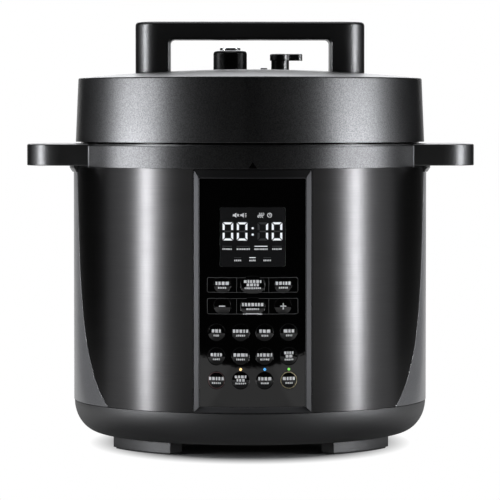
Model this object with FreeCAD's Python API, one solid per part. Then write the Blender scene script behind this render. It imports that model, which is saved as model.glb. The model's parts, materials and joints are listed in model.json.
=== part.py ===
"""Electric pressure cooker, millimetres, +Z up, front towards -Y, origin on the pot axis at the floor."""

import FreeCAD
import Part
import math
import os

from FreeCAD import Vector

# Driving dimensions of the cooker, stacked upwards from the floor and outwards from the pot
POT_R = 111.5
JACKET = 22.5
WIDTH_OVER_HANDLES = 335.0
FOOT_HEIGHT = 9.0
BASE_HEIGHT = 24.5
SHELL_HEIGHT = 176.5
COLLAR_HEIGHT = 16.3
LID_GAP = 2.6
LID_SIDE_HEIGHT = 47.8
LID_RISE = 6.9
LID_HANDLE_RISE = 36.1

BODY_R = POT_R + JACKET
BASE_TOP = FOOT_HEIGHT + BASE_HEIGHT
SHELL_TOP = BASE_TOP + SHELL_HEIGHT
COLLAR_TOP = SHELL_TOP + COLLAR_HEIGHT
LID_BOTTOM = COLLAR_TOP + LID_GAP
LID_EDGE = LID_BOTTOM + LID_SIDE_HEIGHT
LID_APEX = LID_EDGE + LID_RISE
LID_HANDLE_TOP = LID_APEX + LID_HANDLE_RISE

# Clearances
ABUT_GAP = 0.05
FIT_GAP = 0.1
KEY_GAP = 0.25
RUNNING_GAP = 0.3
SEAM_GAP = 0.4

# Base pan and feet
BASE_WALL = 2.6
BASE_CORNER = 20.4
BASE_STEP = 0.4
BASE_FLAT_R = BODY_R - BASE_CORNER
BASE_RIM_R = BODY_R - BASE_STEP
BASE_FLOOR = FOOT_HEIGHT + BASE_WALL
FOOT_WIDTH = 16.0
FOOT_OUT_R = BASE_FLAT_R + BASE_STEP
FOOT_IN_R = FOOT_OUT_R - FOOT_WIDTH
FOOT_SPAN = 32.6
FOOT_ANGLE = 48.0
PAD_THICKNESS = 1.2
PAD_INSET = 1.5
VENT_COUNT = 18
VENT_LENGTH = 22.0
VENT_WIDTH = 4.0
VENT_NEAR_R = 51.0
BASE_SCREW_R = FOOT_IN_R + FOOT_WIDTH / 2
BASE_SCREW_ANGLE = 20.0
BASE_BOSS_R = 6.0
SCREW_HEAD_R = 3.6
SCREW_HEAD_HEIGHT = 2.6
SCREW_SHANK_R = 1.75
SCREW_GRIP = 8.0
COUNTERBORE_R = SCREW_HEAD_R + 2 * RUNNING_GAP
COUNTERBORE_DEPTH = 4.0

# Shell halves
WRAP_THICKNESS = 0.8
WRAP_TUCK = 4.0
WRAP_TUCK_MARGIN = 1.0
WRAP_LOW = BASE_TOP + SEAM_GAP
WRAP_BACK_R = BODY_R - WRAP_THICKNESS
SHELL_WALL = 2.4
SHELL_IN_R = BODY_R - SHELL_WALL
JOGGLE_WIDTH = 9.0
SEAM_TOP_Y = -31.5
SEAM_HIGH_Y = -38.7
SEAM_HIGH_RISE = 114.5
SEAM_MIDDLE_Y = -49.0
SEAM_MIDDLE_RISE = 62.5
SEAM_LOW_Y = -67.6
SEAM_LOW_RISE = 19.5
SEAM_BOTTOM_Y = -82.5

# Pot, liner and bayonet
POT_WALL = 1.2
POT_FLOOR_RISE = 28.5
POT_FLOOR = BASE_TOP + POT_FLOOR_RISE
POT_FLOOR_THICKNESS = 3.0
POT_CORNER_R = 14.0
POT_RIM_WIDTH = 6.5
POT_RIM_R = POT_R + POT_RIM_WIDTH
POT_RIM_DROP = 4.7
POT_RIM_Z = COLLAR_TOP - POT_RIM_DROP
POT_RIM_THICKNESS = 1.8
POT_RIM_TOP = POT_RIM_Z + POT_RIM_THICKNESS
LINER_CLEARANCE = 3.0
LINER_R = POT_R + LINER_CLEARANCE
LINER_WALL = 0.8
LINER_OUT_R = LINER_R + LINER_WALL
LINER_DROP = 11.5
LINER_FLOOR = POT_FLOOR - LINER_DROP
LINER_BOTTOM = LINER_FLOOR - LINER_WALL
LOCK_CLEARANCE = 1.0
LOCK_IN_R = POT_RIM_R + LOCK_CLEARANCE
LOCK_WALL = 2.0
LOCK_OUT_R = LOCK_IN_R + LOCK_WALL
LOCK_SHELF_R = LINER_R + LOCK_WALL
LOCK_SHELF_TOP = POT_RIM_Z - RUNNING_GAP
LOCK_SHELF_HEIGHT = 3.35
LOCK_LOW = LOCK_SHELF_TOP - LOCK_SHELF_HEIGHT
LUG_COUNT = 6
LUG_PITCH = 360.0 / LUG_COUNT
LOCK_LUG_SPAN = 26.0
LOCK_LUG_HEIGHT = 2.5
LID_LUG_SPAN = 24.0
LID_LUG_HEIGHT = 2.2
LUG_GAP = 0.9

# Collar, trim and side handles
TRIM_THICKNESS = 0.8
TRIM_HALF_ANGLE = 63.9
TRIM_IN_R = BODY_R + ABUT_GAP
TRIM_LOW = SHELL_TOP + RUNNING_GAP
COLLAR_R = BODY_R - FIT_GAP
RIM_INSET = 2.5
LIP_R = BODY_R - RIM_INSET
LIP_WIDTH = 1.5
LIP_RISE = 1.3
LIP_TOP = COLLAR_TOP + LIP_RISE
GUTTER_OUT_R = LIP_R - LIP_WIDTH
GUTTER_IN_R = LOCK_OUT_R + RIM_INSET - LOCK_CLEARANCE
GUTTER_DEPTH = 4.3
GUTTER_FLOOR = COLLAR_TOP - GUTTER_DEPTH
GUTTER_THICKNESS = 2.0
GUTTER_LOW = GUTTER_FLOOR - GUTTER_THICKNESS
LOCK_FLANGE_R = GUTTER_OUT_R - 2 * LIP_WIDTH
SKIRT_DEPTH = 6.0
SKIRT_WALL = 2.3
SPOUT_DROP = 8.0
SPOUT_Z = SHELL_TOP - SPOUT_DROP
SPOUT_HALF_WIDTH = 4.0
SPOUT_HEIGHT = 5.2
SPOUT_WALL = 1.2
SPOUT_REACH = 5.0
DRAIN_DEPTH = 5.0
DUCT_NEAR = GUTTER_IN_R + SPOUT_WALL
HANDLE_HALF_DEPTH = 59.0
HANDLE_CORNER_R = 24.5
HANDLE_EDGE_R = 1.2
HANDLE_RISE = 1.1
HANDLE_WALL = 3.0
GUSSET_DEPTH = 4.0

# Heater and power
PLATE_INSET = 19.5
PLATE_R = POT_R - PLATE_INSET
PLATE_THICKNESS = 12.0
PLATE_EDGE_R = 3.0
PLATE_LOW = POT_FLOOR - PLATE_THICKNESS
PLATE_CLEARANCE = 5.0
SENSOR_R = 14.5
SENSOR_HOLE_R = SENSOR_R + 2 * RUNNING_GAP
SENSOR_STEM_R = 4.0
SENSOR_CAP_HEIGHT = 8.0
SENSOR_ROUND = 1.0
ELEMENT_INSET = 27.0
ELEMENT_R = PLATE_R - ELEMENT_INSET
ELEMENT_TUBE_R = 3.9
ELEMENT_Z = PLATE_LOW - ELEMENT_TUBE_R - FIT_GAP
ELEMENT_SPAN = 320.0
TERMINAL_R = 2.0
TERMINAL_LENGTH = 20.0
TERMINAL_TURN = 1.0
POST_R = 4.0
POST_CIRCLE_R = PLATE_R - 3 * POST_R
GUIDE_R = 10.0
ARM_HEIGHT = 4.0
ARM_DROP = 8.0
ARM_Z = PLATE_LOW - 2 * ELEMENT_TUBE_R - ARM_DROP
STEM_TAIL = 6.0
SWITCH_NEAR = 40.0
SWITCH_LENGTH = 22.0
SWITCH_WIDTH = 14.0
SWITCH_HEIGHT = 12.0
PLUNGER_R = 2.5
PLUNGER_RISE = 4.0
FUSE_CLEARANCE = 5.0
FUSE_NEAR = SENSOR_HOLE_R + FUSE_CLEARANCE
FUSE_LENGTH = 22.0
FUSE_R = 2.4
STRAP_WIDTH = 8.0
STRAP_THICKNESS = 2.0
POWER_BOARD_X = 50.0
POWER_BOARD_WIDTH = 56.0
POWER_BOARD_INSET = 10.0
POWER_BOARD_FRONT = POWER_BOARD_INSET - PLATE_R
POWER_BOARD_BACK = POWER_BOARD_FRONT + POWER_BOARD_WIDTH
BOARD_STAND = 5.4
POWER_BOARD_Z = BASE_FLOOR + BOARD_STAND
BOARD_THICKNESS = 1.6
BOARD_POST_INSET = 6.0
BOARD_POST_R = 3.0
RELAY_LENGTH = 20.0
RELAY_WIDTH = 16.0
COIL_LENGTH = 28.0
COIL_WIDTH = 26.0
CAN_R = 6.0
COMPONENT_HEIGHT = 13.0
COMPONENT_MARGIN = 12.0

# Appliance inlet at the rear
INLET_HALF_WIDTH = 15.6
INLET_RISE = 14.5
INLET_HEIGHT = 26.0
INLET_LOW = BASE_TOP + INLET_RISE
INLET_HIGH = INLET_LOW + INLET_HEIGHT
INLET_MIDDLE = INLET_LOW + INLET_HEIGHT / 2
INLET_FACE = math.sqrt(BODY_R ** 2 - INLET_HALF_WIDTH ** 2)
INLET_BACK = LINER_OUT_R + 2 * RUNNING_GAP
INLET_FLOOR = 1.8
SOCKET_FLOOR = INLET_BACK + INLET_FLOOR
SOCKET_HALF_WIDTH = 12.2
SOCKET_HEIGHT = 16.4
SOCKET_CHAMFER = 4.5
PIN_PITCH = 7.0
PIN_OFFSET = 2.0
PIN_HALF_THICKNESS = 1.0
PIN_HALF_WIDTH = 2.0
PIN_SETBACK = 3.0

# Drip cup at the rear
CUP_X = 23.0
CUP_DEPTH = 24.0
CUP_DROP = 3.0
CUP_TOP = SPOUT_Z - CUP_DROP
CUP_HEIGHT = 59.0
CUP_BOTTOM = CUP_TOP - CUP_HEIGHT
CUP_WALL = 1.6
CUP_CORNER_R = 8.0
CUP_NEAR = BODY_R + 2 * RUNNING_GAP
CUP_FAR = CUP_NEAR + CUP_DEPTH
CUP_FLANGE = 3.2
CUP_FLANGE_HEIGHT = 2.6
CUP_FLANGE_DROP = 7.0
CUP_FLANGE_Z = CUP_TOP - CUP_FLANGE_DROP
RAIL_HEIGHT = 14.0
RAIL_WIDTH = 5.0
RAIL_IN_X = CUP_X + RUNNING_GAP
RAIL_OUT_X = RAIL_IN_X + RAIL_WIDTH
RAIL_ROOT_Y = math.sqrt((BODY_R - SHELL_WALL / 2) ** 2 - RAIL_OUT_X ** 2)

# Control panel
PANEL_HALF_WIDTH = 43.0
PANEL_LOW = WRAP_LOW
PANEL_HIGH = SHELL_TOP - FIT_GAP
PANEL_RECESS = 3.0
BEVEL_SIDE = 4.6
BEVEL_LOW = 4.5
BEVEL_HIGH = 6.7
BEZEL_PROUD = 0.2
BEZEL_LAND = 0.6
BEZEL_R = BODY_R + BEZEL_PROUD
FASCIA_R = BODY_R - PANEL_RECESS
FASCIA_THICKNESS = 2.0
FASCIA_BACK_R = FASCIA_R - FASCIA_THICKNESS
BEZEL_DEPTH = 1.5
BEZEL_BACK_R = FASCIA_BACK_R - BEZEL_DEPTH
FASCIA_X = PANEL_HALF_WIDTH - BEVEL_SIDE
FASCIA_LOW = BASE_TOP + BEVEL_LOW
FASCIA_HIGH = SHELL_TOP - BEVEL_HIGH
FASCIA_CORNER_R = 1.0
FASCIA_POST_R = 2.5
FASCIA_POST_INSET = 5.0
FASCIA_POST_RISE = 7.0
MODULE_INSET = 2.0
BOARD_GAP = 1.3
BOARD_MARGIN = 2.0
BOARD_FRONT = -(LINER_OUT_R + BOARD_GAP + BOARD_THICKNESS)
WINDOW_WIDTH = 47.4
WINDOW_HEIGHT = 42.8
WINDOW_CORNER_R = 1.5
KEY_R = 6.1
OVAL_KEY_HALF = 8.75
KEY_PROUD = 0.5
KEY_CROWN = 0.8
KEY_FLANGE = 0.6
KEY_FLANGE_HEIGHT = 1.2
KEY_FLANGE_GAP = 0.55
KEY_FLANGE_TOP = FASCIA_BACK_R - KEY_FLANGE_GAP
KEY_BACK = KEY_FLANGE_TOP - KEY_FLANGE_HEIGHT
KEY_TRAVEL = 0.8
SWITCH_CASE_HALF = 3.0
SWITCH_TIP_R = 1.6
SWITCH_TIP = KEY_BACK - KEY_TRAVEL - RUNNING_GAP
SWITCH_TIP_LENGTH = 3.0
OUTER_KEY_X = 22.0
COLUMN_PITCH = 17.45
COLUMN_COUNT = 4
TOP_KEY_DROP = 13.2
LOWER_KEY_DROP = 15.3
PROGRAM_DROP = 19.2
ROW_PITCH = 17.2
PANEL_STACK = WINDOW_HEIGHT + TOP_KEY_DROP + LOWER_KEY_DROP + PROGRAM_DROP + 2 * ROW_PITCH + KEY_R
PANEL_SPARE = FASCIA_HIGH - FASCIA_LOW - PANEL_STACK
PANEL_HEAD_SHARE = 0.606
WINDOW_HIGH = FASCIA_HIGH - PANEL_HEAD_SHARE * PANEL_SPARE
WINDOW_LOW = WINDOW_HIGH - WINDOW_HEIGHT
TOP_KEY_Z = WINDOW_LOW - TOP_KEY_DROP
LOWER_KEY_Z = TOP_KEY_Z - LOWER_KEY_DROP
PROGRAM_ROWS = (LOWER_KEY_Z - PROGRAM_DROP, LOWER_KEY_Z - PROGRAM_DROP - ROW_PITCH)
BOTTOM_ROW = PROGRAM_ROWS[1] - ROW_PITCH
LED_R = 0.95
LED_RISE = KEY_R + KEY_FLANGE + LED_R + RUNNING_GAP

# Lid
LID_WALL = 2.4
LID_INSET = 1.6
LID_BOTTOM_R = BODY_R - LID_INSET
LID_TAPER = 2.1
LID_EDGE_R = LID_BOTTOM_R - LID_TAPER
LID_EDGE_ROUND = 1.0
CAP_R = (LID_EDGE_R ** 2 + LID_RISE ** 2) / (2 * LID_RISE)
STEEL_LID_INSET = 4.0
STEEL_LID_R = LID_BOTTOM_R - STEEL_LID_INSET
STEEL_LID_WALL = 1.2
STEEL_LID_ROUND = 3.6
STEEL_LID_IN_R = STEEL_LID_R - STEEL_LID_WALL
STEEL_LID_DROP = 2.5
STEEL_LID_HEIGHT = 19.6
STEEL_LID_LOW = LID_BOTTOM - STEEL_LID_DROP
STEEL_LID_TOP = STEEL_LID_LOW + STEEL_LID_HEIGHT
STEEL_UNDER = STEEL_LID_TOP - STEEL_LID_WALL
LOCK_LUG_R = STEEL_LID_IN_R - STEEL_LID_WALL
LOCK_TOP = STEEL_LID_LOW + LID_LUG_HEIGHT + LUG_GAP + LOCK_LUG_HEIGHT
LID_LUG_R = LOCK_OUT_R + LOCK_CLEARANCE
BOSS_INSET = 47.4
BOSS_CIRCLE_R = LID_BOTTOM_R - BOSS_INSET
BOSS_R = 5.0
BOSS_HOLE_DEPTH = 20.0
LID_SCREW_LENGTH = 15.0
SEAL_WIDTH = 10.0
SEAL_OUT_R = LOCK_IN_R - FIT_GAP - SEAM_GAP
SEAL_IN_R = SEAL_OUT_R - SEAL_WIDTH
SEAL_LIP = 5.0
SEAL_BEVEL = 2.0
SEAL_SLOT_DEPTH = 6.0
RACK_WALL = 1.2
RACK_R = SEAL_IN_R - FIT_GAP - 2 * RUNNING_GAP
RACK_RISE = 3.0
LID_HANDLE_LENGTH = 174.0
LID_HANDLE_DEPTH = 34.0
LID_HANDLE_BAR = 13.7
LID_HANDLE_LEG = 26.7
LID_HANDLE_ROUND = 3.2
LID_HANDLE_CHAMFER = 1.7

# Steam valve, lever and float on the lid
VALVE_X = -14.7
VALVE_Y = 45.0
VALVE_R = 13.0
VALVE_HEIGHT = 15.4
VALVE_TOP = LID_APEX + VALVE_HEIGHT
VALVE_ROUND = 3.0
VALVE_DISC_R = 8.0
VALVE_DISC_HEIGHT = 2.2
VALVE_DISC_ROUND = 1.0
PIPE_R = 4.5
PIPE_BORE_R = 1.5
PIPE_HEADROOM = 8.0
PIPE_TOP = VALVE_TOP - PIPE_HEADROOM
PIPE_TAIL = 8.0
PIPE_FLANGE = 2.5
PIPE_FLANGE_HEIGHT = 2.0
SHIELD_R = 13.5
SHIELD_HEIGHT = 13.5
SHIELD_WALL = 1.0
SHIELD_SLOTS = 4
SHIELD_SLOT_WIDTH = 3.0
SHIELD_MARGIN = 3.5
LEVER_X = 24.0
LEVER_STEM_R = 6.9
LEVER_DISC_R = 7.9
LEVER_RISE = 7.5
LEVER_HEIGHT = 5.2
LEVER_DISC_LOW = LID_APEX + LEVER_RISE
LEVER_TOP = LEVER_DISC_LOW + LEVER_HEIGHT
LEVER_REACH = 17.2
LEVER_TAB = 8.0
LEVER_ROUND = 1.0
LEVER_TAIL = 4.0
FLOAT_X = 11.7
FLOAT_Y = 58.0
FLOAT_R = 2.6
FLOAT_PROUD = 2.0
FLOAT_TOP = LID_APEX + FLOAT_PROUD
FLOAT_RISE = 6.0
FLOAT_FLANGE_R = 5.2
FLOAT_FLANGE_HEIGHT = 1.5
FLOAT_TAIL = 4.0

# Places that repeat round the axis or across the panel
FOOT_ANGLES = (FOOT_ANGLE, -FOOT_ANGLE, 180 - FOOT_ANGLE, FOOT_ANGLE - 180)
SCREW_ANGLES = (BASE_SCREW_ANGLE, -BASE_SCREW_ANGLE, 180 - BASE_SCREW_ANGLE, BASE_SCREW_ANGLE - 180)
POST_ANGLES = (180.0, 60.0, -60.0)
BOSS_ANGLES = (45.0, 135.0, -135.0, -45.0)
LUG_ANGLES = tuple(LUG_PITCH * number for number in range(LUG_COUNT))
KEY_COLUMNS = tuple(COLUMN_PITCH * (number - (COLUMN_COUNT - 1) / 2) for number in range(COLUMN_COUNT))
LED_COLUMNS = KEY_COLUMNS[1:]

# Directions, a length that clears the whole cooker, and how far cuts run past a face
UP = Vector(0, 0, 1)
ORIGIN = Vector(0, 0, 0)
FAR = 3 * WIDTH_OVER_HANDLES
OVERCUT = 1.0
SAME_HEIGHT = 0.01


def block(x0, x1, y0, y1, z0, z1):
    """Box between two corners."""
    return Part.makeBox(x1 - x0, y1 - y0, z1 - z0, Vector(x0, y0, z0))


def rod(radius, start, end):
    """Round bar from one point to another."""
    along = end - start
    return Part.makeCylinder(radius, along.Length, start, along)


def post(radius, x, y, low, high):
    """Upright round bar."""
    return rod(radius, Vector(x, y, low), Vector(x, y, high))


def disc(radius, low, high):
    """Round plate on the pot axis."""
    return post(radius, 0, 0, low, high)


def ring(inner, outer, low, high):
    """Tube on the pot axis."""
    return disc(outer, low, high).cut(disc(inner, low - OVERCUT, high + OVERCUT))


def sector(inner, outer, low, high, middle, span):
    """Piece of a tube; middle is its angle from the front towards +X, span its width, in degrees."""
    wedge = Part.makeCylinder(outer, high - low, Vector(0, 0, low), UP, span)
    wedge = wedge.cut(disc(inner, low - OVERCUT, high + OVERCUT))
    wedge.rotate(ORIGIN, UP, middle - 90 - span / 2)
    return wedge


def turned(edges):
    """Solid of revolution about the pot axis from a closed outline of edges in the XZ plane."""
    face = Part.Face(Part.Wire(edges))
    return face.revolve(ORIGIN, UP, 360)


def segments(points):
    """Straight edges through (radius, height) points."""
    corners = [Vector(radius, 0, height) for radius, height in points]
    return [Part.makeLine(start, end) for start, end in zip(corners, corners[1:])]


def turned_polygon(points):
    """Solid of revolution from the corners of its section."""
    return turned(segments(points + points[:1]))


def joined(first, *others):
    """One solid from several that overlap or touch."""
    return first.multiFuse(list(others)).removeSplitter()


def on_circle(radius, angle, height=0.0):
    """Point at an angle from the front, towards +X, in degrees."""
    turn = math.radians(angle)
    return Vector(radius * math.sin(turn), -radius * math.cos(turn), height)


def mirrored(shape):
    """The same shape on the other side of the middle plane."""
    return shape.mirror(ORIGIN, Vector(1, 0, 0))


def upright_edges(shape, radius):
    """Edges that stand upright at more than a distance from the middle plane."""
    chosen = []
    for edge in shape.Edges:
        ends = [vertex.Point for vertex in edge.Vertexes]
        level = len(ends) == 2 and abs(ends[0].z - ends[1].z) < OVERCUT
        if not level and min(abs(end.x) for end in ends) > radius:
            chosen.append(edge)
    return chosen


def edges_at_height(shape, height):
    """Edges that lie at one height."""
    return [edge for edge in shape.Edges
            if abs(edge.BoundBox.ZMin - height) < SAME_HEIGHT and abs(edge.BoundBox.ZMax - height) < SAME_HEIGHT]


def bowl(wall):
    """Filled base pan drawn in by a wall thickness, with its elliptical lower corner."""
    low = FOOT_HEIGHT + wall
    rim = BASE_RIM_R - wall
    centre = Vector(BASE_FLAT_R, 0, BASE_TOP)
    ellipse = Part.Ellipse(Vector(BASE_FLAT_R, 0, low), Vector(rim, 0, BASE_TOP), centre)
    corner = Part.ArcOfEllipse(ellipse, 0, math.pi / 2).toShape()
    floor = segments([(0, low), (BASE_FLAT_R, low)])
    top = segments([(rim, BASE_TOP), (0, BASE_TOP), (0, low)])
    return turned(floor + [corner] + top)


def board_corners():
    """Places of the four posts under the power board."""
    x = POWER_BOARD_X - BOARD_POST_INSET
    rows = (POWER_BOARD_FRONT + BOARD_POST_INSET, POWER_BOARD_BACK - BOARD_POST_INSET)
    return [(side * x, y) for side in (-1, 1) for y in rows]


def base_pan():
    """Pan with arc feet, vent slots, board posts and screw bosses."""
    pan = bowl(0).cut(bowl(BASE_WALL))
    for number in range(VENT_COUNT):
        slot = block(VENT_NEAR_R, VENT_NEAR_R + VENT_LENGTH, -VENT_WIDTH / 2, VENT_WIDTH / 2, 0, BASE_FLOOR + OVERCUT)
        slot.rotate(ORIGIN, UP, 360.0 * (number + 0.5) / VENT_COUNT)
        pan = pan.cut(slot)
    feet = [sector(FOOT_IN_R, FOOT_OUT_R, PAD_THICKNESS, BASE_FLOOR, angle, FOOT_SPAN) for angle in FOOT_ANGLES]
    posts = [post(BOARD_POST_R, x, y, FOOT_HEIGHT + OVERCUT, POWER_BOARD_Z) for x, y in board_corners()]
    spots = [on_circle(BASE_SCREW_R, angle) for angle in SCREW_ANGLES]
    bosses = [post(BASE_BOSS_R, spot.x, spot.y, FOOT_HEIGHT, LINER_BOTTOM - ABUT_GAP) for spot in spots]
    pan = joined(pan, *(feet + posts + bosses))
    for spot in spots:
        pan = pan.cut(post(COUNTERBORE_R, spot.x, spot.y, 0, FOOT_HEIGHT + COUNTERBORE_DEPTH))
        pan = pan.cut(post(SCREW_SHANK_R + FIT_GAP, spot.x, spot.y, 0, LINER_FLOOR + OVERCUT))
    return pan


def foot_pads():
    """Rubber pads under the feet."""
    inset_span = FOOT_SPAN - 2 * math.degrees(PAD_INSET / FOOT_OUT_R)
    return Part.makeCompound([
        sector(FOOT_IN_R + PAD_INSET, FOOT_OUT_R - PAD_INSET, 0, PAD_THICKNESS, angle, inset_span)
        for angle in FOOT_ANGLES])


def base_screws():
    """Screws from below, through the pan's bosses into the liner's floor."""
    screws = []
    head_top = FOOT_HEIGHT + COUNTERBORE_DEPTH
    for angle in SCREW_ANGLES:
        spot = on_circle(BASE_SCREW_R, angle)
        head = post(SCREW_HEAD_R, spot.x, spot.y, head_top - SCREW_HEAD_HEIGHT, head_top)
        shank = post(SCREW_SHANK_R, spot.x, spot.y, head_top - OVERCUT, LINER_FLOOR + SCREW_GRIP)
        screws.append(joined(head, shank))
    return Part.makeCompound(screws)


def behind_seam(offset):
    """Everything behind the swept seam at both sides, moved back by an offset."""
    outline = [
        Vector(0, SEAM_TOP_Y + offset, SHELL_TOP),
        Vector(0, SEAM_HIGH_Y + offset, BASE_TOP + SEAM_HIGH_RISE),
        Vector(0, SEAM_MIDDLE_Y + offset, BASE_TOP + SEAM_MIDDLE_RISE),
        Vector(0, SEAM_LOW_Y + offset, BASE_TOP + SEAM_LOW_RISE),
        Vector(0, SEAM_BOTTOM_Y + offset, BASE_TOP)]
    curve = Part.BSplineCurve()
    curve.interpolate(outline)
    corners = [outline[-1], Vector(0, SEAM_BOTTOM_Y + offset, 0), Vector(0, FAR, 0), Vector(0, FAR, FAR),
               Vector(0, SEAM_TOP_Y + offset, FAR), outline[0]]
    edges = [Part.makeLine(start, end) for start, end in zip(corners, corners[1:])]
    face = Part.Face(Part.Wire([curve.toShape()] + edges))
    face.translate(Vector(-FAR, 0, 0))
    return face.extrude(Vector(2 * FAR, 0, 0))


def front_wrap():
    """Steel sheet round the front, tucked up behind the trim, with a slot for the control panel."""
    sheet = ring(WRAP_BACK_R, BODY_R, WRAP_LOW, SHELL_TOP).cut(behind_seam(0))
    tuck_span = 2 * (TRIM_HALF_ANGLE - WRAP_TUCK_MARGIN)
    tuck = sector(WRAP_BACK_R, BODY_R, SHELL_TOP, SHELL_TOP + WRAP_TUCK, 0, tuck_span)
    half_slot = PANEL_HALF_WIDTH + FIT_GAP
    slot = block(-half_slot, half_slot, -FAR, 0, 0, SHELL_TOP)
    return joined(sheet, tuck).cut(slot)


def rear_shell():
    """Plastic shell behind the seam, stepped in under the wrap, with cup rails and the inlet opening."""
    outer = ring(SHELL_IN_R, BODY_R, WRAP_LOW, SHELL_TOP).common(behind_seam(SEAM_GAP))
    step = ring(SHELL_IN_R, WRAP_BACK_R - FIT_GAP, WRAP_LOW, SHELL_TOP).common(behind_seam(-JOGGLE_WIDTH))
    rail_low = CUP_FLANGE_Z - (RAIL_HEIGHT - CUP_FLANGE_HEIGHT) / 2
    rail = block(RAIL_IN_X, RAIL_OUT_X, RAIL_ROOT_Y, CUP_FAR - RAIL_WIDTH, rail_low, rail_low + RAIL_HEIGHT)
    groove_x = CUP_X + CUP_FLANGE + RUNNING_GAP
    groove = block(0, groove_x, BODY_R, FAR, CUP_FLANGE_Z - RUNNING_GAP,
                   CUP_FLANGE_Z + CUP_FLANGE_HEIGHT + RUNNING_GAP)
    rail = rail.cut(groove)
    shell = joined(outer, step, rail, mirrored(rail))
    opening_x = INLET_HALF_WIDTH + FIT_GAP
    shell = shell.cut(block(-opening_x, opening_x, 0, FAR, INLET_LOW - FIT_GAP, INLET_HIGH + FIT_GAP))
    chute_x = SPOUT_HALF_WIDTH + FIT_GAP
    return shell.cut(block(-chute_x, chute_x, 0, FAR, SPOUT_Z - FIT_GAP, SHELL_TOP + OVERCUT))


def upper_collar():
    """Ring on top of the shell with a drip gutter, a rim lip and a spout to the drip cup."""
    skirt_r = SHELL_IN_R - RUNNING_GAP
    skirt_low = SHELL_TOP - SKIRT_DEPTH
    tuck_r = WRAP_BACK_R - FIT_GAP
    tuck_top = SHELL_TOP + WRAP_TUCK + RUNNING_GAP
    seat = SHELL_TOP + ABUT_GAP
    collar = turned_polygon([
        (tuck_r, seat), (tuck_r, tuck_top), (COLLAR_R, tuck_top), (COLLAR_R, COLLAR_TOP), (LIP_R, COLLAR_TOP),
        (LIP_R, LIP_TOP), (GUTTER_OUT_R, LIP_TOP), (GUTTER_OUT_R, GUTTER_FLOOR), (GUTTER_IN_R, GUTTER_FLOOR),
        (GUTTER_IN_R, GUTTER_LOW), (skirt_r - SKIRT_WALL, GUTTER_LOW), (skirt_r - SKIRT_WALL, skirt_low),
        (skirt_r, skirt_low), (skirt_r, seat)])
    relief_x = PANEL_HALF_WIDTH + RUNNING_GAP
    collar = collar.cut(block(-relief_x, relief_x, -FAR, 0, 0, seat))
    half = SPOUT_HALF_WIDTH
    duct = block(-half, half, DUCT_NEAR, DUCT_NEAR + DRAIN_DEPTH, SPOUT_Z, GUTTER_LOW + OVERCUT)
    chute = block(-half, half, DUCT_NEAR, CUP_NEAR + SPOUT_REACH, SPOUT_Z, SPOUT_Z + SPOUT_HEIGHT)
    bore_x = SPOUT_HALF_WIDTH - SPOUT_WALL
    bore_low = SPOUT_Z + SPOUT_WALL
    drop_far = DUCT_NEAR + DRAIN_DEPTH - SPOUT_WALL
    drop = block(-bore_x, bore_x, DUCT_NEAR + SPOUT_WALL, drop_far, bore_low, GUTTER_FLOOR + OVERCUT)
    run = block(-bore_x, bore_x, DUCT_NEAR + SPOUT_WALL, FAR, bore_low, SPOUT_Z + SPOUT_HEIGHT - SPOUT_WALL)
    return joined(collar, duct, chute).cut(drop).cut(run)


def collar_trim(middle):
    """Metallic strip between the handle roots."""
    return sector(TRIM_IN_R, TRIM_IN_R + TRIM_THICKNESS, TRIM_LOW, COLLAR_TOP, middle, 2 * TRIM_HALF_ANGLE)


def side_handle():
    """Right carrying handle, open underneath for the fingers, with a gusset under its root."""
    reach = WIDTH_OVER_HANDLES / 2
    low = TRIM_LOW + HANDLE_RISE
    top = COLLAR_TOP + HANDLE_RISE
    body = block(0, reach, -HANDLE_HALF_DEPTH, HANDLE_HALF_DEPTH, low, top)
    body = body.makeFillet(HANDLE_CORNER_R, upright_edges(body, reach / 2))
    over = [edge for edge in edges_at_height(body, top) if edge.BoundBox.XMax > reach / 2]
    body = body.makeFillet(HANDLE_EDGE_R, over)
    under = [edge for edge in edges_at_height(body, low) if edge.BoundBox.XMax > reach / 2]
    body = body.makeFillet(HANDLE_EDGE_R / 2, under)
    root = BODY_R + HANDLE_WALL
    side = HANDLE_HALF_DEPTH - HANDLE_WALL
    pocket = block(0, reach - HANDLE_WALL, -side, side, 0, top - HANDLE_WALL)
    pocket = pocket.makeFillet(HANDLE_CORNER_R - HANDLE_WALL, upright_edges(pocket, reach / 2))
    pocket = pocket.cut(disc(root, -OVERCUT, FAR))
    gusset_low = TRIM_LOW - GUSSET_DEPTH
    gusset = turned_polygon([
        (BODY_R + FIT_GAP, gusset_low), (BODY_R + FIT_GAP + OVERCUT, gusset_low),
        (root, TRIM_LOW - OVERCUT), (root, low + OVERCUT), (BODY_R + FIT_GAP, low + OVERCUT)])
    gusset_y = HANDLE_HALF_DEPTH - HANDLE_CORNER_R
    gusset = gusset.common(block(0, FAR, -gusset_y, gusset_y, 0, FAR))
    return joined(body.cut(pocket), gusset).cut(disc(BODY_R + FIT_GAP, 0, FAR))


def inner_housing():
    """Metal liner round the pot, hung from its top flange and open in the floor for the heating plate."""
    top = LOCK_LOW - ABUT_GAP
    hole_r = PLATE_R + PLATE_CLEARANCE
    liner = turned_polygon([
        (hole_r, LINER_BOTTOM), (LINER_OUT_R, LINER_BOTTOM), (LINER_OUT_R, top - LINER_WALL),
        (LOCK_OUT_R, top - LINER_WALL), (LOCK_OUT_R, top), (LINER_R, top),
        (LINER_R, LINER_FLOOR), (hole_r, LINER_FLOOR)])
    for angle in SCREW_ANGLES:
        spot = on_circle(BASE_SCREW_R, angle)
        liner = liner.cut(post(SCREW_SHANK_R + FIT_GAP, spot.x, spot.y, 0, LINER_FLOOR + OVERCUT))
    return liner


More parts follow.
